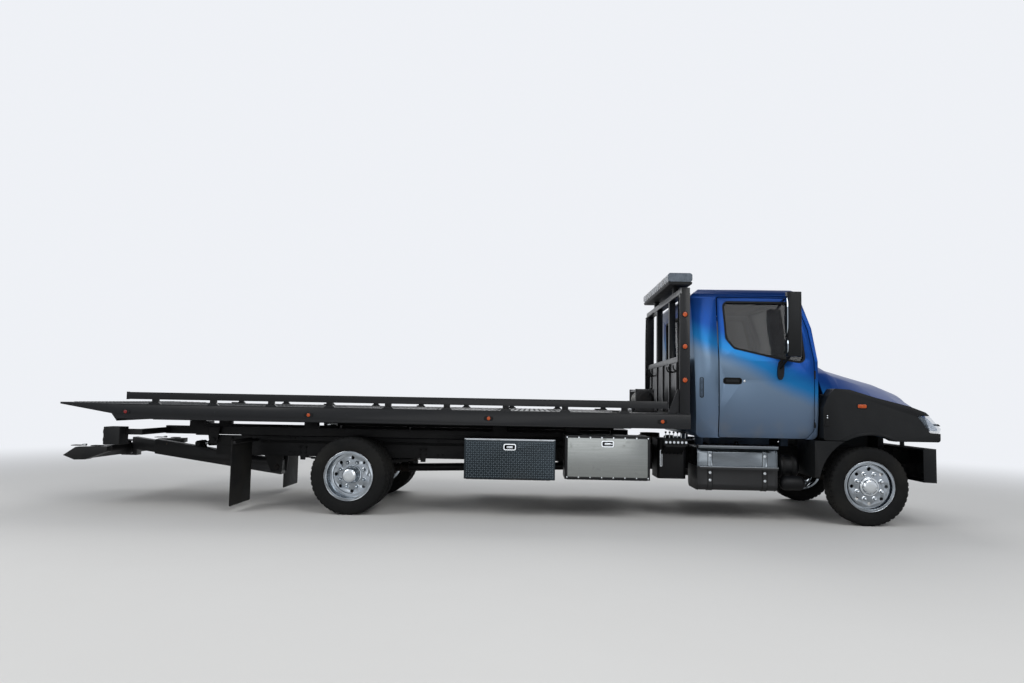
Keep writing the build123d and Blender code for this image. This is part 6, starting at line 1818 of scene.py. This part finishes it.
def seenRays(tree, rays):
    # 1 for camera, glossy and transmitted rays, which see the plain background, and 0 for other light
    total = rays.outputs["Is Camera Ray"]
    for kind in ("Is Glossy Ray", "Is Transmission Ray"):
        adding = tree.nodes.new("ShaderNodeMath")
        adding.use_clamp = True
        tree.links.new(total, adding.inputs[0])
        tree.links.new(rays.outputs[kind], adding.inputs[1])
        total = adding.outputs[0]
    return total


def studio(look):
    # Rays that see the world find a pale sky, the object a soft ramp of light; area lamps face its middle
    scene = bpy.context.scene
    scene.view_settings.view_transform = "Standard"
    world = bpy.data.worlds.new("studioWorld")
    scene.world = world
    world.use_nodes = True
    tree = world.node_tree
    back = tree.nodes["Background"]
    coords = tree.nodes.new("ShaderNodeTexCoord")
    split = tree.nodes.new("ShaderNodeSeparateXYZ")
    link = tree.links.new
    link(coords.outputs["Generated"], split.inputs[0])
    ramp = tree.nodes.new("ShaderNodeValToRGB")
    stops = ramp.color_ramp.elements
    stops[0].position, stops[0].color = 0.0, (0.3, 0.3, 0.31, 1)
    stops[1].position, stops[1].color = 1.0, (0.62, 0.66, 0.74, 1)
    for place, colour in ((0.47, (0.42, 0.42, 0.42, 1)), (0.52, (0.98, 0.98, 1.0, 1)),
                          (0.68, (0.8, 0.83, 0.88, 1))):
        stops.new(place).color = colour
    scale = tree.nodes.new("ShaderNodeMapRange")
    scale.inputs["From Min"].default_value = -1.0
    link(split.outputs["Z"], scale.inputs["Value"])
    link(scale.outputs[0], ramp.inputs[0])
    link(ramp.outputs[0], back.inputs["Color"])
    back.inputs["Strength"].default_value = look["fill"]
    plain = tree.nodes.new("ShaderNodeBackground")
    over = tree.nodes.new("ShaderNodeValToRGB")
    for stop, (place, colour) in zip(over.color_ramp.elements, ((0.78, look["sky"]), (1.0, look["zenith"]))):
        stop.position, stop.color = place, colour
    link(scale.outputs[0], over.inputs[0])
    link(over.outputs[0], plain.inputs["Color"])
    rays = tree.nodes.new("ShaderNodeLightPath")
    pick = tree.nodes.new("ShaderNodeMixShader")
    link(seenRays(tree, rays), pick.inputs[0])
    link(back.outputs[0], pick.inputs[1])
    link(plain.outputs[0], pick.inputs[2])
    link(pick.outputs[0], tree.nodes["World Output"].inputs["Surface"])
    for place, size, power in look["lamps"]:
        data = bpy.data.lights.new("softLamp", "AREA")
        data.size, data.energy = size, power
        lamp = bpy.data.objects.new("softLamp", data)
        lamp.location = place
        lamp.rotation_euler = (Vector((0, 0, 1.0)) - Vector(place)).to_track_quat("-Z", "Y").to_euler()
        scene.collection.objects.link(lamp)


def floorPiece(look):
    # A pale floor that fades by distance from the middle into the sky's colour
    paint = Paint("paleFloor", {"Specular IOR Level": 0.2})
    grey = paint.noise(0.9, 6.0)
    paint.feed({"Base Color": paint.mix(grey * 0.25, tint(look["floor"]), tint("#c6c4c0")),
                "Roughness": paint.noise(3.0, 4.0) * 0.2 + 0.7})
    tree = paint.tree
    spread = paint.node("ShaderNodeVectorMath", {"operation": "LENGTH"}, {0: paint.spot()}, "Value")
    glow = paint.node("ShaderNodeEmission", {}, {"Color": look["sky"]}, "Emission")
    rays = tree.nodes.new("ShaderNodeLightPath")
    far = spread.ramp(*look["fade"]) * Flow(paint, seenRays(tree, rays))
    mixed = paint.node("ShaderNodeMixShader", {}, {0: far, 1: Flow(paint, paint.shader.outputs[0]), 2: glow},
                       "Shader")
    tree.links.new(mixed.socket, tree.nodes["Material Output"].inputs["Surface"])
    span = np.array([(x, y, 0.0) for x in (-60, 60) for y in (-60, 60)], float).reshape(2, 2, 3)
    mesh = bpy.data.meshes.new("studioFloor")
    points, faces = surface(span)
    mesh.from_pydata(points.tolist(), [], [face[::-1] for face in faces])
    mesh.materials.append(paint.material)
    floor = bpy.data.objects.new("studioFloor", mesh)
    bpy.context.scene.collection.objects.link(floor)


studio(studioLook)
floorPiece(studioLook)
print("studio lit")
